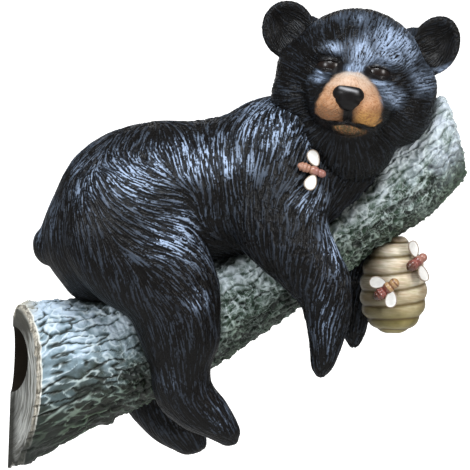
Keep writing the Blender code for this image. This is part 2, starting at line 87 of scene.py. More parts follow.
def objectFrom(bm, name):
    bmesh.ops.recalc_face_normals(bm, faces=bm.faces)
    mesh = bpy.data.meshes.new(name)
    bm.to_mesh(mesh)
    bm.free()
    obj = bpy.data.objects.new(name, mesh)
    bpy.context.scene.collection.objects.link(obj)
    return obj


def bake(obj):
    # the mesh as its modifiers leave it, with no modifier left
    graph = bpy.context.evaluated_depsgraph_get()
    mesh = bpy.data.meshes.new_from_object(obj.evaluated_get(graph))
    obj.modifiers.clear()
    obj.data = mesh
    return obj


def fuse(obj, voxel, rounds):
    # one skin over forms that overlap, with its creases softened
    remesh = obj.modifiers.new("fuse", "REMESH")
    remesh.mode, remesh.voxel_size = "VOXEL", voxel * mm
    if rounds:
        soften = obj.modifiers.new("soften", "SMOOTH")
        soften.factor, soften.iterations = 0.5, rounds
    return bake(obj)


def thin(obj, triangles):
    # down to about so many triangles
    obj.data.calc_loop_triangles()
    cut = obj.modifiers.new("thin", "DECIMATE")
    cut.ratio = min(1.0, triangles / len(obj.data.loop_triangles))
    cut.use_collapse_triangulate = True
    return bake(obj)


def cutAcross(bm, spot, facing, geom=None, inner=False):
    # takes away one side of a plane and gives the edges of the cut, which stay sharp
    geom = geom or list(bm.verts) + list(bm.edges) + list(bm.faces)
    cut = bmesh.ops.bisect_plane(bm, geom=geom, dist=1e-7, plane_co=spot, plane_no=facing,
                                 clear_outer=not inner, clear_inner=inner)
    rim = [e for e in cut["geom_cut"] if isinstance(e, bmesh.types.BMEdge)]
    for e in rim:
        e.smooth = False
    return rim


def slabs(obj, cuts, names):
    # the mesh in slabs along x, each one closed where it is cut
    pieces = []
    for name, low, high in zip(names, [None] + cuts, cuts + [None]):
        bm = bmesh.new()
        bm.from_mesh(obj.data)
        for x, facing in ((low, -1), (high, 1)):
            if x is not None:
                bmesh.ops.holes_fill(bm, edges=cutAcross(bm, (x * mm, 0, 0), (facing, 0, 0)), sides=0)
        pieces.append(objectFrom(bm, name))
    bpy.data.objects.remove(obj)
    return pieces


def joined(objects, name):
    bm = bmesh.new()
    for obj in objects:
        bm.from_mesh(obj.data)
        bpy.data.objects.remove(obj)
    return objectFrom(bm, name)


def read(mesh, what):
    # the mesh's points or normals in a table, in millimetres or unit length
    table = np.empty(len(mesh.vertices) * 3)
    if what == "places":
        mesh.vertices.foreach_get("co", table)
        return table.reshape(-1, 3) / mm
    mesh.vertex_normals.foreach_get("vector", table)
    return table.reshape(-1, 3)


def move(mesh, places):
    mesh.vertices.foreach_set("co", (places * mm).ravel())
    mesh.update()


def keep(mesh, name, values):
    # stores one number or one direction for each point, for the materials to read
    kind, key = ("FLOAT", "value") if values.ndim == 1 else ("FLOAT_VECTOR", "vector")
    mesh.attributes.new(name, kind, "POINT").data.foreach_set(key, values.astype(np.float32).ravel())


def unit(vectors):
    return vectors / np.maximum(np.linalg.norm(vectors, axis=-1, keepdims=True), 1e-9)


def rise(value, low, high):
    # 0 below low, 1 above high, and smooth between
    t = np.clip((value - low) / (high - low), 0, 1)
    return t * t * (3 - 2 * t)


def toSegments(points, starts, ends):
    # distance from each point to the nearest of the segments
    best = np.full(len(points), 1e9)
    for a, b in zip(starts, ends):
        a, b = np.array(a, float), np.array(b, float)
        t = np.clip(((points - a) @ (b - a)) / max((b - a) @ (b - a), 1e-9), 0, 1)
        best = np.minimum(best, np.linalg.norm(points - a - t[:, None] * (b - a), axis=1))
    return best


def toLine(points, line):
    return toSegments(points, line[:-1], line[1:])


def insideOutline(points, outline):
    # distance to a closed outline in the plane, above zero inside it
    starts, ends = outline, outline[1:] + outline[:1]
    inside = np.zeros(len(points), bool)
    for (ax, ay), (bx, by) in zip(starts, ends):
        spans = (ay > points[:, 1]) != (by > points[:, 1])
        crossing = ax + (points[:, 1] - ay) / (by - ay if by != ay else 1e-9) * (bx - ax)
        inside ^= spans & (points[:, 0] < crossing)
    return np.where(inside, 1, -1) * toSegments(points, starts, ends)


# Noise for the carving, worked out for all points of a mesh at once

def cornerHash(cells, seed):
    mixed = cells[:, 0] * 73856093 ^ cells[:, 1] * 19349663 ^ cells[:, 2] * 83492791 ^ seed * 26544357
    mixed = (mixed ^ mixed >> 13) * 1274126177 & 0xffffffff
    mixed = (mixed ^ mixed >> 16) * 668265263 & 0xffffffff
    return mixed ^ mixed >> 15


def hashVectors(cells, seed):
    mixed = cornerHash(cells, seed)
    return np.stack([mixed & 1023, mixed >> 10 & 1023, mixed >> 20 & 1023], 1) / 511.5 - 1


def waves(points, seed=0):
    # smooth noise, about -0.7 to 0.7
    base = np.floor(points).astype(np.int64)
    part = points - base
    blend = part ** 3 * (part * (part * 6 - 15) + 10)
    total = np.zeros(len(points))
    for corner in range(8):
        offset = np.array([corner & 1, corner >> 1 & 1, corner >> 2])
        share = np.prod(np.where(offset, blend, 1 - blend), axis=1)
        total += share * np.sum(hashVectors(base + offset, seed) * (part - offset), axis=1)
    return total


def cells(points, seed=0):
    # for each point: distance to the nearest of scattered seeds, distance to its cell's border,
    # a number for the cell and its tilt
    base = np.floor(points).astype(np.int64)
    near = np.full(len(points), 9.0)
    second = np.full(len(points), 9.0)
    owner = np.zeros(len(points))
    tilt = np.zeros(len(points))
    for i in range(27):
        cell = base + np.array([i % 3 - 1, i // 3 % 3 - 1, i // 9 - 1])
        away = points - cell - 0.5 - 0.42 * hashVectors(cell, seed)
        gap = np.linalg.norm(away, axis=1)
        closer = gap < near
        second = np.where(closer, near, np.minimum(second, gap))
        owner = np.where(closer, cornerHash(cell, seed + 7) % 1000 / 1000, owner)
        tilt = np.where(closer, np.sum(away * hashVectors(cell, seed + 3), axis=1), tilt)
        near = np.minimum(near, gap)
    return near, second - near, owner, tilt


def strands(points, flow, width, length, seed):
    # noise drawn out along the flow and brought to one strength everywhere, -1 to 1
    samples = int(1.2 * length / width) + 2
    pair = np.zeros((2, len(points)))
    for k in range(samples):
        moved = (points + flow * ((k / (samples - 1) - 0.5) * length)) / width
        for part in (0, 1):
            pair[part] += waves(moved, seed + 50 * part)
    return pair[0] / np.maximum(np.hypot(*pair), 0.03)


# Material helpers

def addNode(tree, kind, settings=None, inputs=None):
    made = tree.nodes.new(kind)
    for key, value in (settings or {}).items():
        setattr(made, key, value)
    for key, value in (inputs or {}).items():
        if isinstance(value, bpy.types.NodeSocket):
            tree.links.new(value, made.inputs[key])
        else:
            made.inputs[key].default_value = value
    return made


def ramp(tree, factor, stops):
    # a colour ramp: stops are (place, colour)
    made = addNode(tree, "ShaderNodeValToRGB", inputs={"Fac": factor})
    band = made.color_ramp
    while len(band.elements) < len(stops):
        band.elements.new(0.5)
    for element, (place, colour) in zip(band.elements, stops):
        element.position, element.color = place, (*colour, 1)
    return made.outputs["Color"]


def mixed(tree, factor, first, second, blend="MIX"):
    made = addNode(tree, "ShaderNodeMix", {"data_type": "RGBA", "blend_type": blend})
    for socket, value in ((made.inputs[0], factor), (made.inputs[6], first), (made.inputs[7], second)):
        if isinstance(value, bpy.types.NodeSocket):
            tree.links.new(value, socket)
        else:
            socket.default_value = value if isinstance(value, (int, float)) else (*value, 1)
    return made.outputs[2]


def maths(tree, operation, *values):
    made = addNode(tree, "ShaderNodeMath", {"operation": operation})
    for socket, value in zip(made.inputs, values):
        if isinstance(value, bpy.types.NodeSocket):
            tree.links.new(value, socket)
        else:
            socket.default_value = value
    return made.outputs[0]


def times(tree, first, second):
    return maths(tree, "MULTIPLY", first, second)


def mapped(tree, value, low, high, toLow=0.0, toHigh=1.0):
    made = addNode(tree, "ShaderNodeMapRange", {"clamp": True}, {
        "Value": value, "From Min": low, "From Max": high, "To Min": toLow, "To Max": toHigh})
    return made.outputs["Result"]


def attribute(tree, name, output="Fac"):
    return addNode(tree, "ShaderNodeAttribute", {"attribute_name": name}).outputs[output]


def noiseNode(tree, vector, scale, detail=2.0, roughness=0.5):
    made = addNode(tree, "ShaderNodeTexNoise", inputs={
        "Vector": vector, "Scale": scale, "Detail": detail, "Roughness": roughness})
    return made.outputs["Fac"]


def newPaint(name, roughness, gloss=0.5):
    made = bpy.data.materials.new(name)
    made.use_nodes = True
    tree = made.node_tree
    shader = tree.nodes["Principled BSDF"]
    shader.inputs["Roughness"].default_value = roughness
    shader.inputs["Specular IOR Level"].default_value = gloss
    place = tree.nodes.new("ShaderNodeTexCoord").outputs["Object"]
    return made, tree, shader, place


def bumped(tree, shader, height, distance, strength=1.0):
    made = addNode(tree, "ShaderNodeBump", inputs={
        "Height": height, "Distance": distance, "Strength": strength})
    tree.links.new(made.outputs["Normal"], shader.inputs["Normal"])


def finishPiece(obj, paints, nodes=("bear_on_branch",)):
    # paints the piece and says what it rides on and replaces: the one casting, unless it is a bee
    slots = obj.data.materials
    while len(slots) < len(paints):
        slots.append(None)
    for i, paint in enumerate(paints):
        slots[i] = paint
    faces = obj.data.polygons
    faces.foreach_set("use_smooth", np.ones(len(faces), bool))
    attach(obj, "root")
    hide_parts(*nodes)
    obj.data.calc_loop_triangles()
    print(obj.name, len(obj.data.loop_triangles), "triangles")
    return obj


# The camera, the light and the floor

stageLook = {
    "aim": (152.97, 0.0, 62.26),  # the point behind the picture's middle
    "distance": 1800.0,
    "width": 329.0,  # what the picture spans at that point
    "roll": 2.07,  # the photograph's own tilt, in degrees
    "floor": -550.0,
    "floorColour": (0.90, 0.90, 0.89),
    "floorHalf": 6.0,  # in metres
    "world": 0.24,
    "middle": (0.15, 0, 0.07),  # what the lights face, in metres
    "backdrop": (4200.0, 1575.0),  # a white light box behind: how far back, and its half width
    # place in metres, size, power and colour of each softbox
    "softboxes": {
        "softboxAbove": ((0.05, -0.95, 1.25), 0.55, 26.0, (0.92, 0.96, 1.0)),
        "softboxLeft": ((-0.95, -1.15, 0.65), 0.40, 15.0, (0.93, 0.96, 1.0)),
        "softboxRight": ((1.25, -1.0, 0.55), 0.40, 12.0, (1.0, 0.98, 0.96)),
    },
}


def makeStage():
    look = stageLook
    roll = math.radians(look["roll"])
    right, up = Vector((math.cos(roll), 0, math.sin(roll))), Vector((-math.sin(roll), 0, math.cos(roll)))
    camera = bpy.data.objects.new("camera", bpy.data.cameras.new("camera"))
    turn = Matrix((right, up, right.cross(up))).transposed().to_4x4()
    turn.translation = (Vector(look["aim"]) + Vector((0, -look["distance"], 0))) * mm
    camera.matrix_world = turn
    camera.data.lens = camera.data.sensor_width * look["distance"] / look["width"]
    bpy.context.scene.collection.objects.link(camera)
    bpy.context.scene.camera = camera

    away, half = look["backdrop"]
    middle = Vector(look["middle"])
    level = Matrix.Translation((middle.x, 0, look["floor"] * mm))
    upright = Matrix.Translation((middle.x, away * mm, (look["floor"] + half) * mm))
    upright @= Matrix.Rotation(math.pi / 2, 4, "X")
    sheets = (("floor", look["floorHalf"], level, 0.0), ("backdrop", half * mm, upright, 1.0))
    for name, size, place, glow in sheets:
        bm = bmesh.new()
        bmesh.ops.create_grid(bm, x_segments=2, y_segments=2, size=size, matrix=place)
        sheet = objectFrom(bm, name)
        paint, _, shader, _ = newPaint(name + "Paint", 0.9, 0.0)
        shader.inputs["Base Color"].default_value = (*look["floorColour"], 1)
        shader.inputs["Emission Color"].default_value = (1, 1, 1, 1)
        shader.inputs["Emission Strength"].default_value = glow
        sheet.data.materials.append(paint)

    world = bpy.data.worlds.new("studio")
    bpy.context.scene.world = world
    world.use_nodes = True
    world.node_tree.nodes["Background"].inputs["Color"].default_value = (1.0, 1.0, 1.0, 1)
    world.node_tree.nodes["Background"].inputs["Strength"].default_value = look["world"]
    bpy.context.scene.view_settings.view_transform = "Standard"

    for name, (place, size, power, colour) in look["softboxes"].items():
        light = bpy.data.objects.new(name, bpy.data.lights.new(name, "AREA"))
        light.data.size, light.data.energy, light.data.color = size, power, colour
        light.location = place
        light.rotation_mode = "QUATERNION"
        light.rotation_quaternion = (Vector(place) - middle).to_track_quat("Z", "Y")
        bpy.context.scene.collection.objects.link(light)


makeStage()
print("stage done")


# The bear's forms. A rib is an ellipse: its two ends in the side view (x, z, x, z), its place across (y)
# and its half depth.

bearForms = {
    "torso": [
        (17, 62, 22, 39, 0, 16), (24, 82, 31, 27, 0, 36), (38, 111, 45, 13, 0, 49), (60, 129, 66, 11, 0, 56),
        (91, 139, 94, 22, 0, 59), (122, 141, 120, 35, 0, 59), (143, 146, 147, 43, 0, 57),
        (160, 156, 172, 47, -1, 54), (175, 160, 202, 57, -3, 50), (189, 162, 226, 72, -6, 44),
        (207, 162, 241, 90, -10, 36)],
    "nearHindLeg": [
        (48, 96, 104, 91, -38, 20), (37, 72, 126, 68, -41, 26), (36, 51, 135, 51, -42, 28),
        (46, 31, 142, 34, -43, 28), (62, 15, 144, 20, -43, 26), (82, 3, 145, 5, -42, 24),
        (91, -15, 145, -13, -41, 22), (98, -31, 140, -28, -38, 20), (100, -45, 141, -40, -34, 19),
        (106, -59, 150, -51, -31, 18), (121, -71, 157, -62, -29, 16), (136, -77, 162, -73, -27, 13),
        (148, -82, 160, -78, -26, 8)],
    "farHindLeg": [
        (40, 92, 100, 88, 38, 20), (33, 72, 120, 68, 42, 26), (34, 50, 130, 51, 43, 28),
        (40, 29, 135, 33, 43, 28), (54, 12, 135, 18, 43, 26), (65, -9, 130, -4, 42, 24),
        (68, -30, 124, -25, 40, 22), (72, -50, 122, -42, 36, 20), (80, -65, 127, -55, 33, 18),
        (90, -76, 133, -65, 31, 17), (102, -86, 137, -74, 29, 15), (117, -93, 138, -84, 28, 10)],
    "nearForeleg": [
        (154, 121, 212, 130, -34, 20), (150, 96, 219, 104, -38, 24), (149, 76, 218, 86, -40, 26),
        (154, 59, 216, 72, -42, 26), (167, 44, 222, 57, -44, 25), (186, 29, 232, 38, -45, 22),
        (198, 18, 233, 26, -46, 20), (202, 10, 234, 14, -46, 17), (205, -3, 231, -2, -46, 14),
        (207, -16, 227, -16, -45, 12), (208, -26, 223, -26, -44, 9), (211, -31, 219, -31, -43, 5)],
    "farForeleg": [
        (198, 96, 250, 98, 36, 22), (212, 72, 252, 66, 42, 22), (222, 50, 252, 46, 43, 20),
        (230, 29, 250, 29, 44, 16), (231, 10, 251, 9, 44, 14), (232, -4, 249, -5, 43, 11),
        (236, -12, 245, -13, 42, 6)],
    # centre, half sizes and lean in the side view, in degrees
    "balls": [
        ((24, 0, 50), (11, 15, 14), 8), ((88, -34, 62), (46, 32, 50), 10), ((80, 34, 60), (46, 32, 50), 10),
        ((183, -26, 110), (38, 32, 44), -12), ((190, 26, 108), (38, 32, 44), -12),
        ((205, -12, 140), (34, 34, 34), 0)],
    "sides": 48,
    "capBulge": 0.7,
    "voxel": 0.76,
    "softening": 78,
    "cuts": [106.0, 178.0],
    "triangles": 540000,
}

headForms = {
    "centre": (232, -26, 170),
    "lean": 6.0,
    "turn": -5.0,
    # centre and half sizes in the head's own frame: skull, cheeks, ruff, muzzle, brows
    "balls": [
        ((0, 2, 5), (48, 46, 47)), ((-36, 4, 3), (20, 26, 24)), ((37, 6, 0), (20, 26, 24)),
        ((-32, 2, -14), (25, 28, 28)), ((31, 4, -13), (25, 28, 27)), ((-3, -2, -39), (37, 32, 33)),
        ((0, -30, -12), (31, 27, 26)),
        ((0, -44, -15), (23, 28, 20)), ((0, -50, -6), (13, 21, 10)),
        ((-20, -30, 16), (14, 14, 10)), ((20, -30, 16), (14, 14, 10))],
    # lips and chin, added after the softening
    "lips": [((-9.5, -53, -20.5), (13.5, 16, 13)), ((11, -52, -19.3), (13.5, 16, 12.6)),
             ((1, -51, -33.5), (11, 14, 6))],
    # centre, half width, half height, half thickness, lean
    "ears": [((-51.5, 8, 31), 18.9, 21, 5.6, -22), ((50.5, 14, 34), 17.2, 22, 5.6, 18)],
    "earRoots": [((-40, 15, 32), (14, 7, 12)), ((37, 21, 34), (15, 7, 12))],
    "earCup": 9.5,
    "earRim": 0.84,
    "earRows": 26,
    "earSides": 56,
    "earVoxel": 1.0,
    "earSoftening": 14,
    "baseVoxel": 1.2,
    "softening": 64,
    "voxel": 0.6,
    "edgeSoftening": 8,
    "triangles": 196000,
}

# The face in the head's own frame. Lines are (x, z) as seen from the front.
face = {
    "eyes": [(-16.5, -31.6, 6.4), (15.6, -31.4, 6.2)],
    "eyeRadius": 9.6,
    "lidRadius": 10.8,
    "upperLid": 20.0,  # how far the lids stand open above and below the middle, in degrees
    "lowerLid": 9.0,
    "lidPatch": (10.4, 5.8),  # half width and half height of the bare skin round the eye
    "socket": (10.0, 6.6, 6.0),  # half width, half height and depth
    "muzzle": [(-0.1, 3.6), (-6, 3.0), (-10.1, 0.2), (-14.6, -5.9), (-18.1, -13.6), (-20.6, -21),
               (-20.8, -27), (-18.5, -30.6), (-14, -32.4), (-8, -33), (0, -30), (8, -31.2), (14, -31.8),
               (19.2, -30.4), (22.2, -26), (22.9, -18), (20.9, -10.8), (15.6, -3.6), (9.3, 2.0), (4.7, 4.3)],
    "chin": [(-9.5, -32.6), (-7, -35.6), (-3, -37.5), (2, -38.2), (7, -37.4), (12, -35.4), (14.5, -33.6),
             (8, -31.5), (0, -30.3), (-6, -31)],
    "mouth": [(-20.8, -29.5), (-17, -31.8), (-12, -33), (-7.5, -32.6), (-3, -31.6), (1.5, -30.4), (6, -31.2),
              (11, -32.2), (16, -32.4), (20.5, -31.4), (23, -29)],
    "stem": [(1.0, -19), (1.3, -24), (1.5, -29.6)],
    "nose": [((0, -67.2, -12.6), (10.8, 8.0, 7.1)), ((0.2, -67.0, -15.8), (9.2, 7.9, 6.2)),
             ((0.2, -66.7, -19.0), (6.6, 7.2, 4.8))],
    "noseVoxel": 0.35,
    "noseSoftening": 60,
    "noseHighlight": (-9.6, 0.9, 7.6),  # height, half height and half width of the painted highlight along its upper edge
    "noseTop": -7.4,
    "noseFlat": 0.7,  # how much of what stands above its top is taken away
    "nostrils": [(-7.2, -16.2), (7.4, -16.3)],
    "nostril": (1.8, 1.3, 1.3),  # half width, half height and depth
    "lipGroove": (1.4, 1.5),  # half width and depth
    "stemGroove": (1.6, 1.0),
    "stemDark": 4.4,
}


def limbRings(ribs, bulge, steps=5, capRows=6):
    placed = []
    for xa, za, xb, zb, y, depth in curveThrough(ribs, steps):
        a, b = Vector((xa, y, za)) * mm, Vector((xb, y, zb)) * mm
        placed.append(((a + b) / 2, (a - b) / 2, Vector((0, depth * mm, 0))))
    rings = [ringMatrix(*row) for row in placed]
    for end, inner in ((0, 1), (-1, -2)):
        centre, axisA, axisB = placed[end]
        outward = (centre - placed[inner][0]).normalized() * bulge * min(axisA.length, axisB.length)
        cap = []
        for k in range(1, capRows):
            angle = math.pi / 2 * k / capRows
            shrink = math.cos(angle)
            cap.append(ringMatrix(centre + outward * math.sin(angle), axisA * shrink, axisB * shrink))
        rings = cap[::-1] + rings if end == 0 else rings + cap
    return rings


def addBall(bm, centre, halves, lean=0.0, place=Matrix.Identity(4)):
    size = Matrix.Diagonal((*[h * mm for h in halves], 1))
    turn = Matrix.Rotation(math.radians(lean), 4, "Y")
    spot = Matrix.Translation(Vector(centre) * mm)
    return bmesh.ops.create_icosphere(bm, subdivisions=5, radius=1, matrix=place @ spot @ turn @ size)


def addBalls(bm, balls, place):
    for centre, halves in balls:
        addBall(bm, centre, halves, 0.0, place)


def headPlace():
    # the head's own frame, in metres
    return (Matrix.Translation(Vector(headForms["centre"]) * mm)
            @ Matrix.Rotation(math.radians(headForms["lean"]), 4, "Y")
            @ Matrix.Rotation(math.radians(headForms["turn"]), 4, "Z"))


def outOfHead(local):
    ahead = np.array(headPlace())
    return local @ ahead[:3, :3].T + ahead[:3, 3] / mm


def inHead(points):
    # points of the row frame in the head's own frame, in millimetres
    back = np.array(headPlace().inverted())
    return points @ back[:3, :3].T + back[:3, 3] / mm


# The coat. A guide is a point on the near side and the way the hair runs there (x, z).
# The far side mirrors it.
coat = {
    "guides": [
        ((25, -20, 68), (-0.3, -1.0)), ((41, -40, 83), (0.3, -1.0)), ((45, -35, 110), (-0.4, -0.9)),
        ((62, -50, 83), (0.6, -0.8)), ((72, -50, 106), (0.6, -0.8)), ((83, -40, 124), (0.0, -1.0)),
        ((88, -58, 94), (0.9, -0.4)), ((104, -60, 83), (1.0, -0.05)), ((83, -60, 62), (0.85, -0.5)),
        ((114, -60, 73), (1.0, -0.1)), ((104, -60, 52), (1.0, -0.2)), ((125, -58, 52), (1.0, -0.3)),
        ((114, -60, 25), (0.75, -0.65)), ((130, -55, 31), (0.6, -0.8)), ((60, -58, 50), (0.3, -1.0)),
        ((83, -60, 20), (0.15, -1.0)), ((75, -60, 0), (0.3, -1.0)), ((120, -58, -10), (0.2, -1.0)),
        ((118, -50, -30), (0.1, -1.0)), ((145, -40, -65), (0.7, -0.8)), ((122, -52, 112), (0.2, -1.0)),
        ((135, -55, 80), (0.1, -1.0)), ((146, -52, 115), (0.1, -1.0)), ((157, -58, 80), (0.2, -1.0)),
        ((160, -45, 140), (0.0, -1.0)), ((172, -55, 136), (0.0, -1.0)), ((197, -52, 128), (-0.45, -0.9)),
        ((180, -58, 108), (-0.15, -1.0)), ((197, -64, 94), (-0.7, -0.7)), ((212, -62, 88), (-0.4, -0.9)),
        ((178, -62, 72), (0.1, -1.0)), ((200, -66, 66), (-0.2, -1.0)), ((215, -60, 20), (-0.3, -1.0)),
        ((216, -55, -20), (0.0, -1.0))],
    "guideBlend": 8.0,
    # width, length and depth of the locks and of the strokes carved over them
    "body": {"lock": (6.5, 20.0, 0.3), "stroke": (1.4, 11.0, 0.5), "seed": 11},
    "head": {"lock": (5.0, 12.0, 0.15), "stroke": (1.1, 5.5, 0.3), "seed": 19},
    # where the raised hairs are dry-brushed lighter, with painted highlights where the light falls: place (x,
    # z), half width and half height, strength
    "bodyHighlights": [
        (124, 113, 44, 15, 1.15), (82, 98, 31, 19, 1.15), (112, 60, 25, 27, 0.9), (54, 96, 20, 28, 0.6),
        (21, 70, 11, 22, 0.65), (128, 19, 9, 9, 0.9), (174, 136, 22, 24, 1.2), (198, 128, 14, 18, 0.55),
        (204, 86, 17, 15, 0.8), (221, 58, 11, 22, 1.1), (217, 8, 10, 28, 0.6), (152, 126, 60, 12, 0.45),
        (150, 85, 16, 22, 0.22), (147, -62, 10, 11, 0.6), (112, -38, 7, 9, 0.45)],
    # the same in the head's own frame
    "headHighlights": [
        (-15, 19, 11, 6, 0.8), (3, 18, 12, 11, 1.2), (24, 27, 22, 17, 1.25), (48, 8, 14, 14, 0.85),
        (0, 42, 26, 9, 0.6), (2, 6, 9, 5.5, 1.5), (-19, 2.2, 8, 2.2, 1.2), (-22, -3, 10, 5, 0.7),
        (19, -1, 10, 2.8, 1.2), (25, -8, 13, 9, 1.1), (-44, -16, 9, 10, 0.35), (40, -12, 14, 15, 0.25),
        (-28, 34, 12, 10, 0.4), (60, 17, 10, 10, 0.9)],
    "dim": 0.07,  # the same where no patch lies, and on the back of the head
    "headBack": 0.35,
    "muzzle": (0, -58, -14),  # the point from which the hair of the head runs back
}


def bodyFlow(points, normals):
    nearSide = points * [1, 0, 1] - np.abs(points * [0, 1, 0])
    flow = np.zeros_like(points)
    for spot, (along, upward) in coat["guides"]:
        gap = np.sum((nearSide - spot) ** 2, axis=1, keepdims=True)
        flow += np.array([along, 0.0, upward]) / (gap + coat["guideBlend"] ** 2) ** 2
    return layAlong(flow, normals)


def headFlow(points, normals):
    muzzle = np.array(headPlace() @ (Vector(coat["muzzle"]) * mm)) / mm
    return layAlong(points - muzzle, normals)


def layAlong(flow, normals):
    # the flow with what points out of the skin taken away
    return unit(flow - normals * np.sum(flow * normals, axis=1, keepdims=True))


def highlightStrength(places, patches):
    # how strongly the hairs are brushed lighter and carry painted highlights, from a table of patches
    best = np.full(len(places), coat["dim"])
    for x, z, halfWidth, halfHeight, strength in patches:
        gap = ((places[:, 0] - x) / halfWidth) ** 2 + ((places[:, 2] - z) / halfHeight) ** 2
        best = np.maximum(best, strength * np.exp(-gap))
    return best


def carveCoat(obj, flow, depth, lie):
    # raises locks and finer strokes along the hair, and keeps their height for the paint
    mesh = obj.data
    points, normals = read(mesh, "places"), read(mesh, "normals")
    width, length, lockDepth = lie["lock"]
    lock = strands(points, flow, width, length, 3)
    width, length, strokeDepth = lie["stroke"]
    stroke = strands(points, flow, width, length, lie["seed"])
    move(mesh, points + normals * (depth * (lockDepth * lock + strokeDepth * stroke))[:, None])
    keep(mesh, "hairFlow", flow)
    keep(mesh, "hairHeight", 0.5 + 0.5 * np.clip(0.25 * lock + 0.85 * stroke, -1, 1) * rise(depth, 0.0, 0.4))


def makeBody():
    forms = bearForms
    bm = bmesh.new()
    for limb in ("torso", "nearHindLeg", "farHindLeg", "nearForeleg", "farForeleg"):
        loft(bm, limbRings(forms[limb], forms["capBulge"]), forms["sides"])
    for centre, halves, lean in forms["balls"]:
        addBall(bm, centre, halves, lean)
    body = fuse(objectFrom(bm, "bearBody"), forms["voxel"], forms["softening"])
    points, normals = read(body.data, "places"), read(body.data, "normals")
    flow = bodyFlow(points, normals)
    # painted highlights: stronger on surfaces facing up and to the sides and in the listed patches, where the
    # light falls
    outer = rise(0.62 * normals[:, 2] + 0.58 * np.abs(normals[:, 1]), -0.1, 0.4)
    bright = highlightStrength(points, coat["bodyHighlights"]) * (0.9 + 0.7 * waves(points / 16, 51))
    paws = rise(points[:, 2], -95, -50) * rise(points[:, 2] + 0.9 * (points[:, 0] - 190), -60, -20)
    keep(body.data, "hairLit", bright * outer)
    carveCoat(body, flow, 0.3 + 0.7 * paws, coat["body"])
    return slabs(thin(body, forms["triangles"]), forms["cuts"], ["bearRear", "bearMiddle", "bearFront"])


def addEar(bm, ear, place):
    centre, halfWidth, halfHeight, halfDepth, lean = ear
    seat = place @ Matrix.Translation(Vector(centre) * mm) @ Matrix.Rotation(math.radians(lean), 4, "Y")
    rings, rows = [], headForms["earRows"]
    for i in range(1, rows):
        angle = math.pi * i / rows
        out, deep = math.sin(angle), -halfDepth * math.cos(angle)
        if deep < 0:
            deep += headForms["earCup"] * max(0.0, 1 - (out / headForms["earRim"]) ** 2)
        rings.append(seat @ ringMatrix(Vector((0, deep * mm, 0)), Vector((halfWidth * out * mm, 0, 0)),
                                       Vector((0, 0, halfHeight * out * mm))))
    loft(bm, rings, headForms["earSides"])


def cutBall(bm, centre, radius, facing, place):
    # the part of a ball that lies ahead of a plane through its middle
    made = addBall(bm, centre, (radius,) * 3, 0.0, place)["verts"]
    edges, faces = {e for v in made for e in v.link_edges}, {f for v in made for f in v.link_faces}
    turned = (place.to_3x3() @ Vector(facing)).normalized()
    rim = cutAcross(bm, place @ (Vector(centre) * mm), turned, made + list(edges) + list(faces), True)
    bmesh.ops.contextual_create(bm, geom=rim)


def headBlank():
    # skull, muzzle and ears, the eyes' sockets pressed in, then lips and lids, all in one skin
    forms, place = headForms, headPlace()
    bm = bmesh.new()
    addBalls(bm, forms["balls"], place)
    base = fuse(objectFrom(bm, "headBase"), forms["baseVoxel"], forms["softening"])
    bm = bmesh.new()
    for ear in forms["ears"]:
        addEar(bm, ear, place)
    addBalls(bm, forms["earRoots"], place)
    base = joined([base, objectFrom(bm, "headEars")], "headBase")
    base = fuse(base, forms["earVoxel"], forms["earSoftening"])
    local = inHead(read(base.data, "places"))
    halfWidth, halfHeight, depth = face["socket"]
    for x, y, z in face["eyes"]:
        gap = ((local[:, 0] - x) / halfWidth) ** 2 + ((local[:, 2] - z) / halfHeight) ** 2
        local[:, 1] += depth * np.exp(-gap) * (local[:, 1] < 0)
    move(base.data, outOfHead(local))
    bm = bmesh.new()
    addBalls(bm, forms["lips"], place)
    for eye in face["eyes"]:
        for angle, side in ((face["upperLid"], 1), (face["lowerLid"], -1)):
            tilt = math.radians(angle)
            cutBall(bm, eye, face["lidRadius"], (0, math.sin(tilt), side * math.cos(tilt)), place)
    head = joined([base, objectFrom(bm, "headDetail")], "bearHead")
    return fuse(head, forms["voxel"], forms["edgeSoftening"])


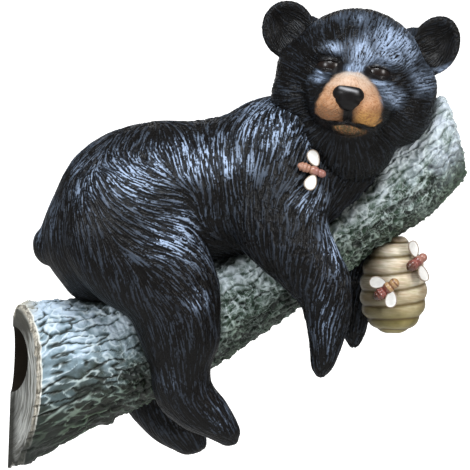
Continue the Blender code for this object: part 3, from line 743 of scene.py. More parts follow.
def makeHead():
    head = headBlank()
    mesh = head.data
    points, normals = read(mesh, "places"), read(mesh, "normals")
    local = inHead(points)
    front = local[:, [0, 2]]
    facing = rise(-local[:, 1], 28, 38)
    ragged = 1.4 * waves(points / 2.4, 41) + 0.7 * waves(points / 1.1, 42)
    muzzle = np.where(facing > 0, insideOutline(front, face["muzzle"]), -30) + ragged
    chin = np.where(facing > 0, insideOutline(front, face["chin"]), -30) + 0.5 * ragged
    mouth, stem = toLine(front, face["mouth"]), toLine(front, face["stem"])
    halfWidth, halfHeight = face["lidPatch"]
    lids = np.min([np.hypot((local[:, 0] - x) / halfWidth, (local[:, 2] - z) / halfHeight)
                   for x, y, z in face["eyes"]], axis=0)
    lids = np.where(local[:, 1] < -20, lids, 9)
    groove = np.zeros(len(points))
    for gap, (half, depth) in ((mouth, face["lipGroove"]), (stem, face["stemGroove"])):
        groove = np.maximum(groove, depth * np.exp(-(gap / half) ** 2) * facing)
    move(mesh, points - normals * groove[:, None])

    ears = np.min([np.linalg.norm(local - ear[0], axis=1) for ear in headForms["ears"]], axis=0)
    cup = (1 - rise(ears, 13, 17)) * (normals[:, 1] < 0)
    tan = np.maximum(muzzle, chin)
    depth = (0.08 + 0.92 * rise(-tan, 0, 24)) * (0.05 + 0.95 * rise(lids, 0.9, 1.6))
    depth *= 0.12 + 0.88 * rise(ears, 15, 26)
    # painted highlights: the listed patches on the face, the top of the back of the head lighter, none in the
    # ear cups
    ahead = rise(-normals[:, 1], -0.2, 0.3)
    bright = highlightStrength(local, coat["headHighlights"]) * (0.9 + 0.7 * waves(points / 11, 52))
    behind = coat["headBack"] * rise(normals[:, 2], -0.3, 0.5)
    keep(mesh, "hairLit", (ahead * bright + (1 - ahead) * behind) * (1 - 0.95 * cup))
    carveCoat(head, headFlow(points, normals), depth, coat["head"])
    dark = np.maximum(np.exp(-(stem / face["stemDark"]) ** 2), np.exp(-(mouth / 1.5) ** 2)) * facing
    keep(mesh, "muzzleTan", rise(tan, -1.5, 1.6))
    keep(mesh, "lipDark", dark * (front[:, 1] < -14))
    tone = np.maximum((front[:, 1] + 28) / 32 + 0.25 * waves(points / 6, 43), 0.14)
    tone -= 0.8 * rise(chin - muzzle, -0.5, 0.5)
    keep(mesh, "muzzleTone", np.clip(tone, 0, 1))
    keep(mesh, "muzzleGold", rise(front[:, 0], 2, 12) * rise(-front[:, 1], 18, 28) * (muzzle > chin))
    keep(mesh, "lidBare", 1 - rise(lids, 0.8, 1.05))
    return thin(head, headForms["triangles"])


def makeEyes():
    bm = bmesh.new()
    addBalls(bm, [(eye, (face["eyeRadius"],) * 3) for eye in face["eyes"]], headPlace())
    return objectFrom(bm, "bearEyes")


def makeNose():
    # balls fused, flattened on top, with a dent for each nostril
    bm = bmesh.new()
    addBalls(bm, face["nose"], headPlace())
    nose = fuse(objectFrom(bm, "bearNose"), face["noseVoxel"], face["noseSoftening"])
    mesh = nose.data
    local = inHead(read(mesh, "places"))
    local[:, 2] -= face["noseFlat"] * np.maximum(0, local[:, 2] - face["noseTop"])
    halfWidth, halfHeight, depth = face["nostril"]
    for x, z in face["nostrils"]:
        gap = np.hypot((local[:, 0] - x) / halfWidth, (local[:, 2] - z) / halfHeight)
        local[:, 1] += depth * np.exp(-gap ** 2) * (local[:, 1] < -66)
    move(mesh, outOfHead(local))
    # a painted highlight along the nose's upper front edge
    level, half, reach = face["noseHighlight"]
    band = np.exp(-((local[:, 2] - level + 0.1 * local[:, 0]) / half) ** 2)
    band *= rise(reach - np.abs(local[:, 0]), 0, 2.5)
    keep(mesh, "noseHighlight", band * (local[:, 1] < -68))
    return nose


# The paint of the coat. Colours are linear; a ramp's stops are (place, colour).
hairLook = {
    "roughness": 0.37,
    "gloss": 0.12,
    # fine hairs are noise averaged along the lie: its scale, the samples to each side, their step in metres
    "scale": 900.0,
    "samples": 4,
    "step": 0.0009,
    "spread": (4.15, 5.2),  # the samples' sum that counts as a gap and as a full hair
    "shares": (0.66, 0.46),  # how much the carved strokes and the fine hairs count
    "bump": (0.0004, 0.8),  # depth in metres and strength
    # from the black of the grooves to the pale blue of the dry brush and the painted highlights
    "colours": [(0.0, (0.0034, 0.0030, 0.0028)), (0.35, (0.052, 0.066, 0.090)), (1.0, (0.29, 0.365, 0.50))],
    # how much pale paint, dry brush and painted highlight together, lies on the crests and between them where
    # the coat is lit, and from what height on
    "body": {"crest": 1.0, "fill": 0.18, "cover": (0.52, 0.2)},
    "head": {"crest": 0.3, "fill": 0.72, "cover": (0.56, 0.08)},
    "muzzle": [
        (0.0, (0.085, 0.058, 0.026)), (0.14, (0.20, 0.105, 0.055)), (0.34, (0.38, 0.20, 0.105)),
        (0.6, (0.43, 0.265, 0.17)), (0.85, (0.51, 0.38, 0.29)), (1.0, (0.53, 0.45, 0.385))],
    "gold": (0.58, 0.30, 0.08),
    "stipple": (0.26, 0.11, 0.045),
    "lip": (0.010, 0.009, 0.009),
    "lid": (0.008, 0.007, 0.007),
    "lidRoughness": 0.28,
}


def muzzlePaint(tree, place, under, bare):
    # the tan muzzle over the coat, stippled with brown, then the lips and the bare lids
    look, tone = hairLook, attribute(tree, "muzzleTone")
    tan = ramp(tree, tone, look["muzzle"])
    tan = mixed(tree, times(tree, attribute(tree, "muzzleGold"), 0.7), tan, look["gold"])
    stipple = noiseNode(tree, place, 680.0, 1.0)
    dotted = times(tree, mapped(tree, stipple, 0.48, 0.62), mapped(tree, tone, 0.3, 0.95, 0.75, 0.1))
    tan = mixed(tree, dotted, tan, look["stipple"])
    colour = mixed(tree, attribute(tree, "muzzleTan"), under, tan)
    colour = mixed(tree, mapped(tree, attribute(tree, "lipDark"), 0.12, 0.7), colour, look["lip"])
    return mixed(tree, bare, colour, look["lid"])


def hairPaint(name, brush, withFace=False):
    # dark hair with pale paint brushed over it, the pale paint also standing for painted highlights where the
    # light falls
    look = hairLook
    paint, tree, shader, place = newPaint(name, look["roughness"], look["gloss"])
    flow = attribute(tree, "hairFlow", "Vector")
    total = None
    for k in range(-look["samples"], look["samples"] + 1):
        shifted = addNode(tree, "ShaderNodeVectorMath", {"operation": "MULTIPLY_ADD"}, {
            0: flow, 1: (k * look["step"],) * 3, 2: place}).outputs[0]
        one = noiseNode(tree, shifted, look["scale"], 0.0)
        total = one if total is None else maths(tree, "ADD", total, one)
    hair = mapped(tree, total, *look["spread"])
    height, lit = attribute(tree, "hairHeight"), attribute(tree, "hairLit")
    raised = maths(tree, "ADD", times(tree, height, look["shares"][0]), times(tree, hair, look["shares"][1]))
    low, lower = brush["cover"]
    crests = times(tree, mapped(tree, raised, low, low + 0.3),
                   mapped(tree, lit, 0.0, 1.0, 0.07, brush["crest"]))
    between = times(tree, mapped(tree, raised, lower, lower + 0.4),
                    mapped(tree, lit, 0.25, 1.0, 0.0, brush["fill"]))
    colour = ramp(tree, maths(tree, "ADD", crests, between), look["colours"])
    depth, strength = look["bump"]
    if withFace:
        bare = attribute(tree, "lidBare")
        colour = muzzlePaint(tree, place, colour, bare)
        roughness = mapped(tree, bare, 0.0, 1.0, look["roughness"], look["lidRoughness"])
        tree.links.new(roughness, shader.inputs["Roughness"])
        strength = mapped(tree, bare, 0.0, 0.8, strength, 0.0)
    tree.links.new(colour, shader.inputs["Base Color"])
    bumped(tree, shader, hair, depth, strength)
    return paint


def glossPaint(name, colour, roughness, gloss=0.5, band=None, highlightColour=None):
    # a plain glossy paint with faint unevenness from the brush, and a painted highlight band where an
    # attribute says so
    paint, tree, shader, place = newPaint(name, roughness, gloss)
    brush = noiseNode(tree, place, 220.0, 2.0)
    darker = tuple(0.55 * c for c in colour)
    coat = mixed(tree, brush, darker, colour)
    if band:
        coat = mixed(tree, attribute(tree, band), coat, highlightColour)
    tree.links.new(coat, shader.inputs["Base Color"])
    bumped(tree, shader, brush, 0.00003)
    return paint


bodyHair = hairPaint("bodyHair", hairLook["body"])
bearParts = [finishPiece(part, [bodyHair]) for part in makeBody()]
print("body done")
eyePaint = glossPaint("eyePaint", (0.010, 0.005, 0.0035), 0.28, 0.35)
# the nose's paler band is a painted highlight
nosePaint = glossPaint("nosePaint", (0.006, 0.005, 0.005), 0.4, 0.18, "noseHighlight", (0.22, 0.22, 0.23))
bearHead = finishPiece(makeHead(), [hairPaint("headHair", hairLook["head"], True)])
bearEyes = finishPiece(makeEyes(), [eyePaint])
bearNose = finishPiece(makeNose(), [nosePaint])
print("head done")


# The branch: its centre line in the side view (x, z) and each rib's lean from upright, in degrees

branchForm = {
    "line": [(-14, -50, 0), (0, -47, 0), (18, -43.5, 3), (43, -32, 18), (79, -20, 28), (124, 1, 33),
             (165, 28, 38), (199, 52, 38), (233, 80, 37), (268, 104, 35), (301, 135, 17)],
    "rowGap": 0.8,
    "buttHalf": (59.0, 42.0),  # half height and half depth
    "endHalf": (30.0, 27.0),
    "taper": 3.3,
    "flare": (3.8, 50.0),  # how much taller the butt grows, and over what length
    "topRound": 12.0,
    "wearPower": 2.4,
    "endBulge": 4.0,
    "endFullness": 0.35,
    "endRows": 24,
    "sides": 370,
    "cut": 148.0,
    "faceEdge": 2.0,  # how far in front of the axis the end grain starts to slant back
    "slant": 30.0,
    "hollow": (23.0, 70.0, 30.0),  # radius, depth and drop below the axis
    # stubs on the underside: place, radius and height
    "knobs": [((69, -6, -70), 5.5, 3.0), ((13, -12, -101), 9.0, 3.6)],
    "dark": [((17, -24, -97), 27.0), ((196, -26, 18), 12.0)],  # place and radius of painted shade, at the butt's foot and between the legs
    "shear": -0.05,  # how the cracks rise against the axis
    "cell": 8.2,
    "relief": 1.5,
    "rim": 3.2,  # width of the bare wood along the cut
}


def branchRows():
    form = branchForm
    line = np.array(curveThrough(form["line"], 26), float)
    runs = np.concatenate([[0.0], np.cumsum(np.linalg.norm(np.diff(line[:, :2], axis=0), axis=1))])
    even = np.linspace(0, runs[-1], int(runs[-1] / form["rowGap"]) + 1)
    line = np.stack([np.interp(even, runs, line[:, k]) for k in range(3)], 1)
    rows = []
    for (x, z, lean), run in zip(line, even):
        thick = (1 - run / runs[-1]) ** form["taper"]
        worn = form["topRound"] * max(0.0, 1 - max(x, 0.0) / form["topRound"]) ** form["wearPower"]
        flare = form["flare"][0] * max(0.0, 1 - max(x, 0.0) / form["flare"][1])
        tall = form["endHalf"][0] + (form["buttHalf"][0] - form["endHalf"][0]) * thick + flare - worn / 2
        deep = form["endHalf"][1] + (form["buttHalf"][1] - form["endHalf"][1]) * thick - worn / 3
        rows.append((x, z - worn / 2, math.radians(lean), tall, deep, run))
    x, z, lean, tall, deep, run = rows[-1]
    for k in range(1, form["endRows"]):
        angle = math.pi / 2 * k / form["endRows"]
        shrink = math.cos(angle) ** form["endFullness"]
        bulge = form["endBulge"] * math.sin(angle)
        rows.append((x + bulge * math.cos(lean), z + bulge * math.sin(lean), lean,
                     tall * shrink, deep * shrink, run + bulge + tall * (1 - shrink)))
    return rows


def crest(value, half):
    # 1 where the value crosses zero, falling away on both sides
    return np.exp(-(value / half) ** 2)


def barkRelief(spread, run):
    # long folds and cracks by the butt, plates, curls and rosettes further out
    form = branchForm
    far = rise(run, 70, 150)
    drift = (2.2 + 2.0 * far)[:, None] * np.stack([waves(spread / 13, n) for n in (21, 22, 23)], 1)
    bent = spread + drift + 1.2 * np.stack([waves(spread / 4.2, n) for n in (24, 25, 26)], 1)
    near, border, owner, tilt = cells(bent / form["cell"], 5)
    fold = crest(waves(bent * [0.4, 1, 1] / 5.2, 27), 0.06)
    curl = crest(waves(bent / 4.6, 30), 0.09)
    rings = np.maximum(crest(near - 0.42, 0.08), 0.7 * crest(near - 0.2, 0.08)) * (owner > 0.6)
    edges = crest(border, 0.06) * rise(waves(spread / 12, 34), -0.2, 0.1)
    ridge = (1 - far) * (0.9 * fold + 0.2 * edges) + far * (0.6 * curl + 0.7 * rings + 0.8 * edges)
    ridge = np.clip(ridge, 0, 1.2)
    crack = crest(waves(bent * [0.16, 1, 1] / 6.5 + 40, 28), 0.06)
    crack *= rise(waves(spread / 14, 29), -0.35, -0.15)
    crack *= 1 - 0.4 * far
    swell = 0.6 * waves(spread / 20, 9) + (0.1 + 0.7 * far) * tilt
    swell += (1.2 + 0.4 * far) * waves(bent * [0.7, 1, 1] / (5.0 - 1.2 * far)[:, None], 32)
    height = 0.7 * ridge + swell + 0.2 * waves(spread / 1.6, 31) - 1.4 * crack
    return ridge, crack, height


def treeOf(obj):
    return BVHTree.FromObject(obj, bpy.context.evaluated_depsgraph_get())


def toPieces(points, objects, reach=15.0):
    # how far each point is from the nearest of the pieces, up to a reach
    spots = [Vector(p) for p in points * mm]
    best = np.full(len(points), reach)
    for tree in [treeOf(obj) for obj in objects]:
        gaps = [tree.find_nearest(spot, reach * mm)[3] for spot in spots]
        best = np.minimum(best, [reach if gap is None else gap / mm for gap in gaps])
    return best


def carveBark(mesh, rows):
    # raises the bark and keeps what its paint reads
    form = branchForm
    points, normals = read(mesh, "places"), read(mesh, "normals")
    ring = np.empty(len(points), np.int32)
    mesh.attributes["ring"].data.foreach_get("value", ring)
    mesh.attributes.remove(mesh.attributes["ring"])
    row = np.array(rows)[ring]
    run = row[:, 5]
    stretch = 1.0 + 0.9 * np.clip(1 - run / 110, 0, 1)
    spoke = points - row[:, :2] @ np.array([[1, 0, 0], [0, 0, 1]])
    tall = np.linalg.norm(spoke * [1, 0, 1], axis=1) * np.sign(spoke[:, 2])
    spread = np.stack([run / stretch, spoke[:, 1], tall - form["shear"] * run], 1)
    ridge, crack, height = barkRelief(spread, run)
    knob = np.zeros(len(points))
    for spot, radius, rising in form["knobs"]:
        knob = np.maximum(knob, rising * np.exp(-(np.linalg.norm(points - spot, axis=1) / radius) ** 4))
    move(mesh, points + normals * (form["relief"] * height + knob)[:, None])
    keep(mesh, "barkRidge", ridge)
    keep(mesh, "barkCrack", crack)
    keep(mesh, "barkHeight", 0.5 + 0.4 * height)
    # how far the surface faces up, for the painted light and shade
    keep(mesh, "barkSky", unit(spoke)[:, 2] + 0.35 * waves(points / 16, 33))
    keep(mesh, "barkRun", np.clip(run / 380, 0, 1))
    # painted shade where the bear's parts come close to the bark, and round the dark places
    paintedShade = 1 - rise(toPieces(points, bearParts), 1.0, 9.0)
    for spot, radius in form["dark"]:
        paintedShade = np.maximum(paintedShade, np.exp(-(np.linalg.norm(points - spot, axis=1) / radius) ** 3))
    keep(mesh, "barkShade", paintedShade)
    slant = math.radians(form["slant"])
    inside = points[:, 0] * math.cos(slant) + (points[:, 1] + form["faceEdge"]) * math.sin(slant)
    inside = np.minimum(inside, points[:, 0]) + 1.2 * waves(points / 5, 35)
    keep(mesh, "barkRim", np.clip(1 - inside / (2 * form["rim"]), 0, 1))


def cutEndFace(branch):
    # cuts the butt flat at the trunk and on a slant towards the viewer
    edge, slope = branchForm["faceEdge"], math.tan(math.radians(branchForm["slant"]))
    bm = bmesh.new()
    bm.from_mesh(branch.data)
    bmesh.ops.recalc_face_normals(bm, faces=bm.faces)
    for spot, facing in (((0, 0, 0), (-1, 0, 0)), ((0, -edge * mm, 0), Vector((-1, -slope, 0)).normalized())):
        rim = cutAcross(bm, spot, facing)
        for made in bmesh.ops.contextual_create(bm, geom=rim)["faces"]:
            made.material_index = 1
    bmesh.ops.triangulate(bm, faces=[f for f in bm.faces if len(f.verts) > 4])
    bpy.data.objects.remove(branch)
    return objectFrom(bm, "branchButt")


def boreHollow(branch):
    # the round hollow for the hanger
    radius, depth, drop = branchForm["hollow"]
    spot = Matrix.Translation((0, -branchForm["faceEdge"] * mm, -drop * mm))
    bm = bmesh.new()
    bmesh.ops.create_cone(bm, cap_ends=True, segments=96, radius1=radius * mm, radius2=radius * mm,
                          depth=2 * depth * mm, matrix=spot @ Matrix.Rotation(math.pi / 2, 4, "Y"))
    cutter = objectFrom(bm, "hollowCutter")
    for wall in cutter.data.polygons:
        wall.material_index = 2
    for obj in (cutter, branch):
        for k in range(3):
            obj.data.materials.append(None)
    cut = branch.modifiers.new("hollow", "BOOLEAN")
    cut.operation, cut.solver, cut.object = "DIFFERENCE", "EXACT", cutter
    bake(branch)
    bpy.data.objects.remove(cutter)


def makeBranch():
    form = branchForm
    rows = branchRows()
    rings = []
    for x, z, lean, tall, deep, run in rows:
        up = Vector((-math.sin(lean), 0, math.cos(lean)))
        rings.append(ringMatrix(Vector((x, 0, z)) * mm, up * tall * mm, Vector((0, deep * mm, 0))))
    bm = bmesh.new()
    loft(bm, rings, form["sides"])
    branch = objectFrom(bm, "branchWhole")
    carveBark(branch.data, rows)
    branch, outer = slabs(branch, [form["cut"]], ["branchButt", "branchBark"])
    branch = cutEndFace(branch)
    boreHollow(branch)
    return branch, outer


barkLook = {
    "roughness": 0.38,
    "gloss": 0.3,
    # painted light and shade, the side facing up lighter and the underside darker; the carved height and
    # patches lighten it too: from, to, and what they give
    "bySky": (-0.75, 0.35, -0.1, 0.76),
    "byHeight": (0.1, 0.95, -0.22, 0.5),
    "byPatch": (0.3, 0.7, -0.14, 0.14),
    "silver": [
        (0.0, (0.018, 0.018, 0.010)), (0.25, (0.028, 0.040, 0.034)), (0.5, (0.075, 0.105, 0.115)),
        (0.75, (0.18, 0.25, 0.29)), (1.0, (0.42, 0.51, 0.60))],
    "mossy": [
        (0.0, (0.007, 0.014, 0.008)), (0.28, (0.018, 0.040, 0.022)), (0.52, (0.072, 0.112, 0.086)),
        (0.78, (0.24, 0.29, 0.285)), (1.0, (0.48, 0.54, 0.57))],
    "lilac": (0.42, 0.46, 0.55),
    "line": (0.50, 0.56, 0.56),
    "tip": (0.58, 0.66, 0.66),
    "crack": (0.012, 0.018, 0.016),
    "edge": (0.42, 0.35, 0.22),
    "undersideShade": (0.26, 0.34, 0.22),
    "wood": [(0.36, (0.09, 0.08, 0.06)), (0.5, (0.24, 0.22, 0.18)), (0.66, (0.46, 0.43, 0.36))],
    "rim": (0.66, 0.66, 0.60),
    # the colour of the painted shade by the bear and at the dark places
    "paintedShade": (0.010, 0.014, 0.010),
    "bump": 0.0003,
}


def barkPaint():
    # silver by the butt and mossy further out, with bare wood at the cut
    look = barkLook
    paint, tree, shader, place = newPaint("barkPaint", look["roughness"], look["gloss"])
    ridge, crack, height, sky, run, paintedShade, rim = [attribute(tree, "bark" + what) for what in (
        "Ridge", "Crack", "Height", "Sky", "Run", "Shade", "Rim")]
    patches = noiseNode(tree, place, 70.0, 3.0)
    level = maths(tree, "ADD", mapped(tree, sky, *look["bySky"]), mapped(tree, height, *look["byHeight"]))
    level = maths(tree, "ADD", level, mapped(tree, patches, *look["byPatch"]))
    silver, mossy = ramp(tree, level, look["silver"]), ramp(tree, level, look["mossy"])
    colour = mixed(tree, mapped(tree, run, 0.2, 0.45), silver, mossy)
    lilac = times(tree, mapped(tree, run, 0.80, 0.97, 0.0, 0.6), mapped(tree, patches, 0.42, 0.58))
    colour = mixed(tree, lilac, colour, look["lilac"])
    wander = maths(tree, "ABSOLUTE", maths(tree, "SUBTRACT", noiseNode(tree, place, 230.0, 2.0, 0.6), 0.5))
    line = times(tree, mapped(tree, wander, 0.0, 0.03, 0.45, 0.0), mapped(tree, run, 0.15, 0.35))
    colour = mixed(tree, line, colour, look["line"])
    colour = mixed(tree, mapped(tree, ridge, 0.3, 0.95, 0.0, 0.6), colour, look["tip"])
    colour = mixed(tree, mapped(tree, crack, 0.3, 0.9, 0.0, 0.92), colour, look["crack"])
    edge = times(tree, mapped(tree, run, 0.045, 0.11, 0.8, 0.0), mapped(tree, sky, 0.6, 0.95))
    colour = mixed(tree, edge, colour, look["edge"])
    # painted shade on the underside, tinted green
    shade = mixed(tree, mapped(tree, sky, -0.9, -0.2), look["undersideShade"], (1.0, 1.0, 1.0))
    colour = mixed(tree, 1.0, colour, shade, "MULTIPLY")
    fibre = addNode(tree, "ShaderNodeMapping", inputs={"Vector": place, "Scale": (6.0, 6.0, 1.0)}).outputs[0]
    wood = ramp(tree, noiseNode(tree, fibre, 110.0, 3.0), look["wood"])
    colour = mixed(tree, mapped(tree, rim, 0.46, 0.52), colour, wood)
    white = times(tree, mapped(tree, rim, 0.40, 0.48), mapped(tree, rim, 0.52, 0.62, 1.0, 0.0))
    colour = mixed(tree, times(tree, white, 0.8), colour, look["rim"])
    # painted shade by the bear and at the dark places
    colour = mixed(tree, mapped(tree, paintedShade, 0.0, 1.0, 0.0, 0.93), colour, look["paintedShade"])
    tree.links.new(colour, shader.inputs["Base Color"])
    bumped(tree, shader, noiseNode(tree, place, 900.0, 3.0), look["bump"])
    return paint


endGrainLook = {
    "roughness": 0.5,
    "gloss": 0.3,
    # in metres: how far below the mount the face's middle lies, and its half width and half height
    "axis": 0.050,
    "half": (0.042, 0.059),
    "rings": [(0.34, (0.075, 0.07, 0.055)), (0.46, (0.20, 0.20, 0.18)), (0.56, (0.34, 0.345, 0.325)),
              (0.68, (0.48, 0.475, 0.43))],
    "brow": (0.055, 0.052, 0.040),  # the dark top
    "rim": (0.62, 0.57, 0.46),
    "foot": (0.014, 0.014, 0.010),
    "bump": 0.0012,
}


def endGrainPaint():
    # rings that follow the outline, pale at the rim and dark towards the foot
    look = endGrainLook
    paint, tree, shader, place = newPaint("endGrainPaint", look["roughness"], look["gloss"])
    split = addNode(tree, "ShaderNodeSeparateXYZ", inputs={"Vector": place}).outputs
    across = maths(tree, "DIVIDE", split["Y"], look["half"][0])
    upright = maths(tree, "DIVIDE", maths(tree, "ADD", split["Z"], look["axis"]), look["half"][1])
    out = maths(tree, "SQRT", maths(tree, "ADD", times(tree, across, across), times(tree, upright, upright)))
    bend = mapped(tree, noiseNode(tree, place, 60.0, 2.0), 0.0, 1.0, -0.06, 0.06)
    ringed = addNode(tree, "ShaderNodeCombineXYZ", inputs={
        "X": maths(tree, "ADD", out, bend), "Y": times(tree, across, 0.12),
        "Z": times(tree, upright, 0.12)}).outputs[0]
    rings = noiseNode(tree, ringed, 26.0, 4.0, 0.6)
    colour = ramp(tree, rings, look["rings"])
    brow = times(tree, mapped(tree, split["Z"], -0.016, -0.008, 0.0, 0.95),
                 mapped(tree, out, 0.94, 1.01, 1.0, 0.0))
    colour = mixed(tree, brow, colour, look["brow"])
    colour = mixed(tree, mapped(tree, out, 0.96, 1.03, 0.0, 0.8), colour, look["rim"])
    level = maths(tree, "ADD", split["Z"], times(tree, bend, 0.2))
    inner = times(tree, mapped(tree, split["X"], 0.003, 0.009, 0.96, 0.0),
                  mapped(tree, level, -0.06, -0.03, 1.0, 0.0))
    foot = maths(tree, "MAXIMUM", mapped(tree, level, -0.096, -0.086, 0.97, 0.0), inner)
    colour = mixed(tree, foot, colour, look["foot"])
    tree.links.new(colour, shader.inputs["Base Color"])
    bumped(tree, shader, rings, look["bump"])
    return paint


def hollowPaint():
    paint, tree, shader, place = newPaint("hollowPaint", 0.8, 0.05)
    # nearly black inside the hollow, mottled at random
    worn = mixed(tree, noiseNode(tree, place, 120.0, 3.0), (0.004, 0.003, 0.002), (0.016, 0.012, 0.008))
    tree.links.new(worn, shader.inputs["Base Color"])
    return paint


butt, outer = makeBranch()
bark = barkPaint()
branchButt = finishPiece(butt, [bark, endGrainPaint(), hollowPaint()])
branchBark = finishPiece(outer, [bark])
print("branch done")


# The beehive: a turned skep under the branch

hiveForm = {
    "station": (265.5, 5.0),  # where along the branch and how far to its far side
    "seat": 1.0,  # how deep its top sits in the branch
    "radius": 23.2,
    "height": 68.5,
    "coils": 8,
    "rowsPerCoil": 16,
    "coilRelief": 1.6,
    "coilLevel": -0.65,
    "coilTilt": (0.16, 0.14),  # how the coils rise to the right and dip to the viewer
    "crown": 0.52,  # the shares of the height over which it widens and narrows
    "foot": 0.45,
    "footPower": 2.6,
    "steps": 200,
}


def hiveTop():
    x, y = hiveForm["station"]
    near = min(branchRows(), key=lambda row: abs(row[0] - x))
    return Vector((x, y, near[1] - near[3] / math.cos(near[2]) + hiveForm["seat"]))


def makeHive():
    form = hiveForm
    rows = form["coils"] * form["rowsPerCoil"]
    smooth = []
    for i in range(rows + 1):
        share = (1 - math.cos(math.pi * i / rows)) / 2
        crown = math.sqrt(1 - max(0.0, 1 - share / form["crown"]) ** 2)
        foot = math.sqrt(1 - max(0.0, 1 - (1 - share) / form["foot"]) ** form["footPower"])
        smooth.append(Vector((form["radius"] * crown * foot, form["height"] * share)))
    runs = [0.0]
    for a, b in zip(smooth, smooth[1:]):
        runs.append(runs[-1] + (b - a).length)
    top = hiveTop()
    bm = bmesh.new()
    verts = [bm.verts.new(top * mm)]
    for spot in smooth[1:-1]:
        verts.append(bm.verts.new((top + Vector((max(spot.x, 0.2), 0, -spot.y))) * mm))
    verts.append(bm.verts.new((top - Vector((0, 0, form["height"]))) * mm))
    edges = [bm.edges.new(pair) for pair in zip(verts, verts[1:])]
    bmesh.ops.spin(bm, geom=verts + edges, cent=top * mm, axis=(0, 0, 1), dvec=(0, 0, 0), angle=math.tau,
                   steps=form["steps"], use_merge=True, use_duplicate=False)
    bmesh.ops.remove_doubles(bm, verts=bm.verts, dist=1e-6)
    hive = objectFrom(bm, "beeHive")

    # the coils' depth for the paint, and a hand-laid unevenness
    mesh = hive.data
    points, normals = read(mesh, "places"), read(mesh, "normals")
    spots = np.array([[p.y, run] for p, run in zip(smooth, runs)])
    level = top.z - points[:, 2]
    tilted = (points - top)[:, :2] @ form["coilTilt"] * np.sin(np.pi * np.clip(level / form["height"], 0, 1))
    down = np.interp(level + tilted, spots[:, 0], spots[:, 1]) / runs[-1]
    coil = np.abs(np.sin(np.pi * form["coils"] * down))
    straw = waves(points * [0.5, 0.5, 1.6] / 1.6, 61)
    bulge = form["coilRelief"] * (coil + form["coilLevel"]) * rise(down, 0.0, 0.03)
    bulge *= rise(1 - down, 0.0, 0.03)
    bulge *= 1 - 0.6 * rise(down, 0.7, 0.92)  # flatter at the foot
    move(mesh, points + normals * (bulge + 0.5 * waves(points / 9, 62) + 0.10 * straw)[:, None])
    keep(mesh, "coilHeight", coil)
    keep(mesh, "coilDown", down)
    # painted shade: darker on the left side, by the bear and where the top meets the branch
    shade = 0.85 * (1 - rise(points[:, 0] - top.x + form["radius"], 2, 27))
    shade = np.maximum(shade, 1 - rise(toPieces(points, bearParts), 1.0, 14.0))
    keep(mesh, "hiveShade", np.maximum(shade, 1 - rise(toPieces(points, [branchBark]), 0.5, 5.0)))
    return hive


hiveLook = {
    "roughness": 0.36,
    "gloss": 0.3,
    "upper": [(0.32, (0.46, 0.34, 0.23)), (0.5, (0.63, 0.52, 0.38)), (0.68, (0.74, 0.68, 0.56))],
    "lower": [(0.32, (0.11, 0.09, 0.02)), (0.5, (0.20, 0.165, 0.045)), (0.68, (0.31, 0.26, 0.10))],
    "tints": [(0.38, (0.50, 0.36, 0.27)), (0.5, (0.70, 0.63, 0.52)), (0.62, (0.40, 0.40, 0.25))],
    "straw": (0.24, 0.19, 0.08),
    "groove": (0.10, 0.065, 0.016),
    "paintedShade": (0.035, 0.024, 0.010),
    "bump": 0.0004,
}


def hivePaint():
    # cream above and olive below, with dark grooves that are partly painted shade, and painted shade by the
    # bear, the branch and on the left side
    look = hiveLook
    paint, tree, shader, place = newPaint("hivePaint", look["roughness"], look["gloss"])
    height, down = attribute(tree, "coilHeight"), attribute(tree, "coilDown")
    patches = noiseNode(tree, place, 60.0, 3.0)
    stretched = addNode(tree, "ShaderNodeMapping", inputs={
        "Vector": place, "Scale": (1.0, 1.0, 7.0)}).outputs[0]
    straw = noiseNode(tree, stretched, 130.0, 3.0)
    upper, lower = ramp(tree, patches, look["upper"]), ramp(tree, patches, look["lower"])
    tints = ramp(tree, noiseNode(tree, stretched, 55.0, 2.0), look["tints"])
    colour = mixed(tree, mapped(tree, down, 0.45, 0.75), mixed(tree, 0.4, upper, tints), lower)
    colour = mixed(tree, mapped(tree, straw, 0.4, 0.62, 0.4, 0.0), colour, look["straw"])
    # the grooves' dark paint is partly their own colour and partly painted shade in them
    colour = mixed(tree, mapped(tree, height, 0.1, 0.5, 0.92, 0.0), colour, look["groove"])
    # painted shade by the bear, the branch and on the left side
    colour = mixed(tree, mapped(tree, attribute(tree, "hiveShade"), 0.0, 1.0, 0.0, 0.9), colour, look["paintedShade"])
    tree.links.new(colour, shader.inputs["Base Color"])
    bumped(tree, shader, straw, look["bump"])
    return paint


beeHive = finishPiece(makeHive(), [hivePaint()])
print("hive done")

# The bees, lying along x with their backs to +z until they are seated

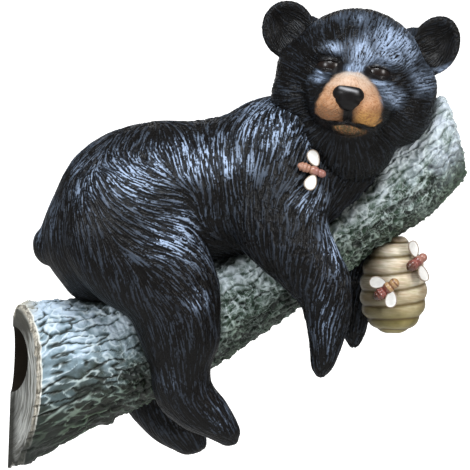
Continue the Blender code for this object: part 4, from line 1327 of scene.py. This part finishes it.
beeForm = {
    "length": 20.5,
    # place and half length as shares of the length, and radius: abdomen, thorax, head
    "segments": [(-0.25, 0.26, 3.7), (0.08, 0.20, 3.8), (0.33, 0.17, 3.2)],
    "rings": 4,
    "ringRelief": 0.3,
    "wing": (12.0, 9.8, 1.2),  # length, width and thickness
    # how far the right and the left wing of each bee lean to the tail, in degrees
    "sweep": {"beeOnShoulder": (12.0, 42.0), "beeOnHiveFront": (43.0, 48.0), "beeOnHiveSide": (25.0, -25.0)},
    "wingAhead": {"beeOnShoulder": 2.6, "beeOnHiveFront": 2.6, "beeOnHiveSide": 0.4},
    "wingRoot": (3.3, 1.2),  # off the axis and above it
    "bulk": {"beeOnShoulder": 0.86, "beeOnHiveFront": 1.14, "beeOnHiveSide": 1.0},
    "wingRim": 0.65,
    "wingHollow": 0.3,
    # how golden the front half is
    "gold": {"beeOnShoulder": 0.0, "beeOnHiveFront": 1.0, "beeOnHiveSide": 0.45},
    "gap": 0.1,
    "patch": 7.0,  # how far round its place the surface is felt for its slope
    "stripes": 6.0,
    "tail": [(0.0, (0.05, 0.022, 0.012)), (0.35, (0.12, 0.040, 0.028)), (0.6, (0.24, 0.075, 0.06)),
             (1.0, (0.13, 0.03, 0.022))],
    "plainTail": (0.30, 0.15, 0.10),
    "plainFront": (0.28, 0.125, 0.10),
    "goldFront": (0.35, 0.21, 0.10),
    "stripe": (0.10, 0.035, 0.02),
}
# each bee's CAD node, the line it is dropped along (from, towards) and its heading in degrees
hiveFoot = hiveTop() - Vector((0, 0, hiveForm["height"]))
beeSeats = {
    "beeOnShoulder": ("bee_on_shoulder", Vector((202.2, -333, 107.0)), Vector((202.2, -30, 107.0)), -18.0),
}
for name, node, bearing, share, heading in (("beeOnHiveFront", "bee_on_hive_front", -13.5, 0.45, 40.0),
                                            ("beeOnHiveSide", "bee_on_hive_side", 35.0, 0.72, 30.0)):
    toward = hiveFoot + Vector((0, 0, share * hiveForm["height"]))
    outward = Vector((math.sin(math.radians(bearing)), -math.cos(math.radians(bearing)), 0))
    beeSeats[name] = (node, toward + outward * 3 * hiveForm["radius"], toward, heading)


def makeBee(name):
    form = beeForm
    bm = bmesh.new()
    for place, half, radius in form["segments"]:
        centre = place * form["length"]
        radius *= form["bulk"][name]
        made = addBall(bm, (centre, 0, 0), (half * form["length"], radius, radius))["verts"]
        if place < 0:  # rings round the abdomen
            for v in made:
                along = (v.co.x / mm - centre) / (half * form["length"])
                swell = 1 + form["ringRelief"] / radius * math.cos(math.tau * form["rings"] * (along + 1) / 2)
                v.co.y, v.co.z = v.co.y * swell, v.co.z * swell
    length, width, thick = form["wing"]
    ahead, (beside, above) = form["wingAhead"][name], form["wingRoot"]
    for side, sweep in zip((-1, 1), form["sweep"][name]):
        made = bmesh.ops.create_circle(bm, cap_ends=True, segments=48, radius=1)["verts"]
        under = made[0].link_faces[0]
        for v in made:
            out = (v.co.y * side + 1) / 2
            v.co.x *= width / 2 * (0.68 + 0.36 * out)
            v.co.y = side * out * length
            v.co.z = 0.9 * out * out - thick / 2
            v.co *= mm
        turn = Matrix.Rotation(math.radians(side * sweep), 3, "Z")
        bmesh.ops.rotate(bm, verts=made, cent=(0, 0, 0), matrix=turn)
        bmesh.ops.translate(bm, verts=made, vec=Vector((ahead, side * beside, above)) * mm)
        grown = bmesh.ops.extrude_face_region(bm, geom=[under])["geom"]
        top = [v for v in grown if isinstance(v, bmesh.types.BMVert)]
        bmesh.ops.translate(bm, vec=(0, 0, thick * mm), verts=top)
        blade = [f for f in grown if isinstance(f, bmesh.types.BMFace)]
        bmesh.ops.inset_individual(bm, faces=blade, thickness=form["wingRim"] * mm,
                                   depth=-form["wingHollow"] * mm)
        for rim in {f for v in made + top for f in v.link_faces}:
            rim.material_index = 2
        for middle in blade:
            middle.material_index = 1
    bee = objectFrom(bm, name)
    for k in range(3):
        bee.data.materials.append(None)
    along = read(bee.data, "places")[:, 0] / form["length"]
    keep(bee.data, "beeAlong", along)
    keep(bee.data, "beeGold", np.full(len(along), form["gold"][name]))
    return bee


def seatBee(bee, surface, outside, toward, heading):
    # drops the bee along the line, turns its back to the outside and lets it down on the surface
    tree = treeOf(surface)
    outside, toward = outside * mm, toward * mm
    aim = (toward - outside).normalized()
    spot = tree.ray_cast(outside, aim)[0]
    side = aim.orthogonal().normalized() * beeForm["patch"] * mm
    shifts = [Matrix.Rotation(math.tau * k / 8, 3, aim) @ side for k in range(8)]
    slopes = [tree.ray_cast(outside + shift, aim)[1] or Vector() for shift in shifts]
    normal = sum(slopes, Vector()).normalized()
    across = normal.cross(Vector((0, 0, 1))).normalized()
    upward = across.cross(normal).normalized()
    turn = math.radians(heading)
    along = across * -math.cos(turn) + upward * math.sin(turn)
    basis = Matrix((along, normal.cross(along), normal)).transposed().to_4x4()
    bee.data.transform(Matrix.Translation(spot + normal * 0.02) @ basis)
    drops = [tree.ray_cast(v.co, -normal, 0.06)[3] for v in bee.data.vertices]
    drops = [d for d in drops if d is not None]
    bee.data.transform(Matrix.Translation(-normal * (min(drops) - beeForm["gap"] * mm)))
    return bee


def beeBodyPaint():
    # a dark red tail half and a golden, striped front half, or one pinkish brown
    form = beeForm
    paint, tree, shader, _ = newPaint("beeBodyPaint", 0.25, 0.5)
    along, gold = attribute(tree, "beeAlong"), attribute(tree, "beeGold")
    tail = ramp(tree, mapped(tree, along, -0.5, 0.05), form["tail"])
    tail = mixed(tree, mapped(tree, gold, 0.0, 0.45), form["plainTail"], tail)
    golden = mixed(tree, mapped(tree, gold, 0.4, 1.0), form["plainFront"], form["goldFront"])
    bands = maths(tree, "SINE", times(tree, along, 2 * math.pi * form["stripes"]))
    stripe = times(tree, mapped(tree, bands, 0.3, 0.8), mapped(tree, gold, 0.5, 1.0, 0.0, 0.8))
    golden = mixed(tree, stripe, golden, form["stripe"])
    tree.links.new(mixed(tree, mapped(tree, along, 0.0, 0.06), tail, golden), shader.inputs["Base Color"])
    return paint


beePaints = [beeBodyPaint(), glossPaint("beeWingPaint", (0.76, 0.74, 0.70), 0.35),
             glossPaint("beeRimPaint", (0.30, 0.23, 0.17), 0.35)]
for name, (node, outside, toward, heading) in beeSeats.items():
    surface = bearParts[-1] if node == "bee_on_shoulder" else beeHive
    finishPiece(seatBee(makeBee(name), surface, outside, toward, heading), beePaints, [node])
print("bees done")
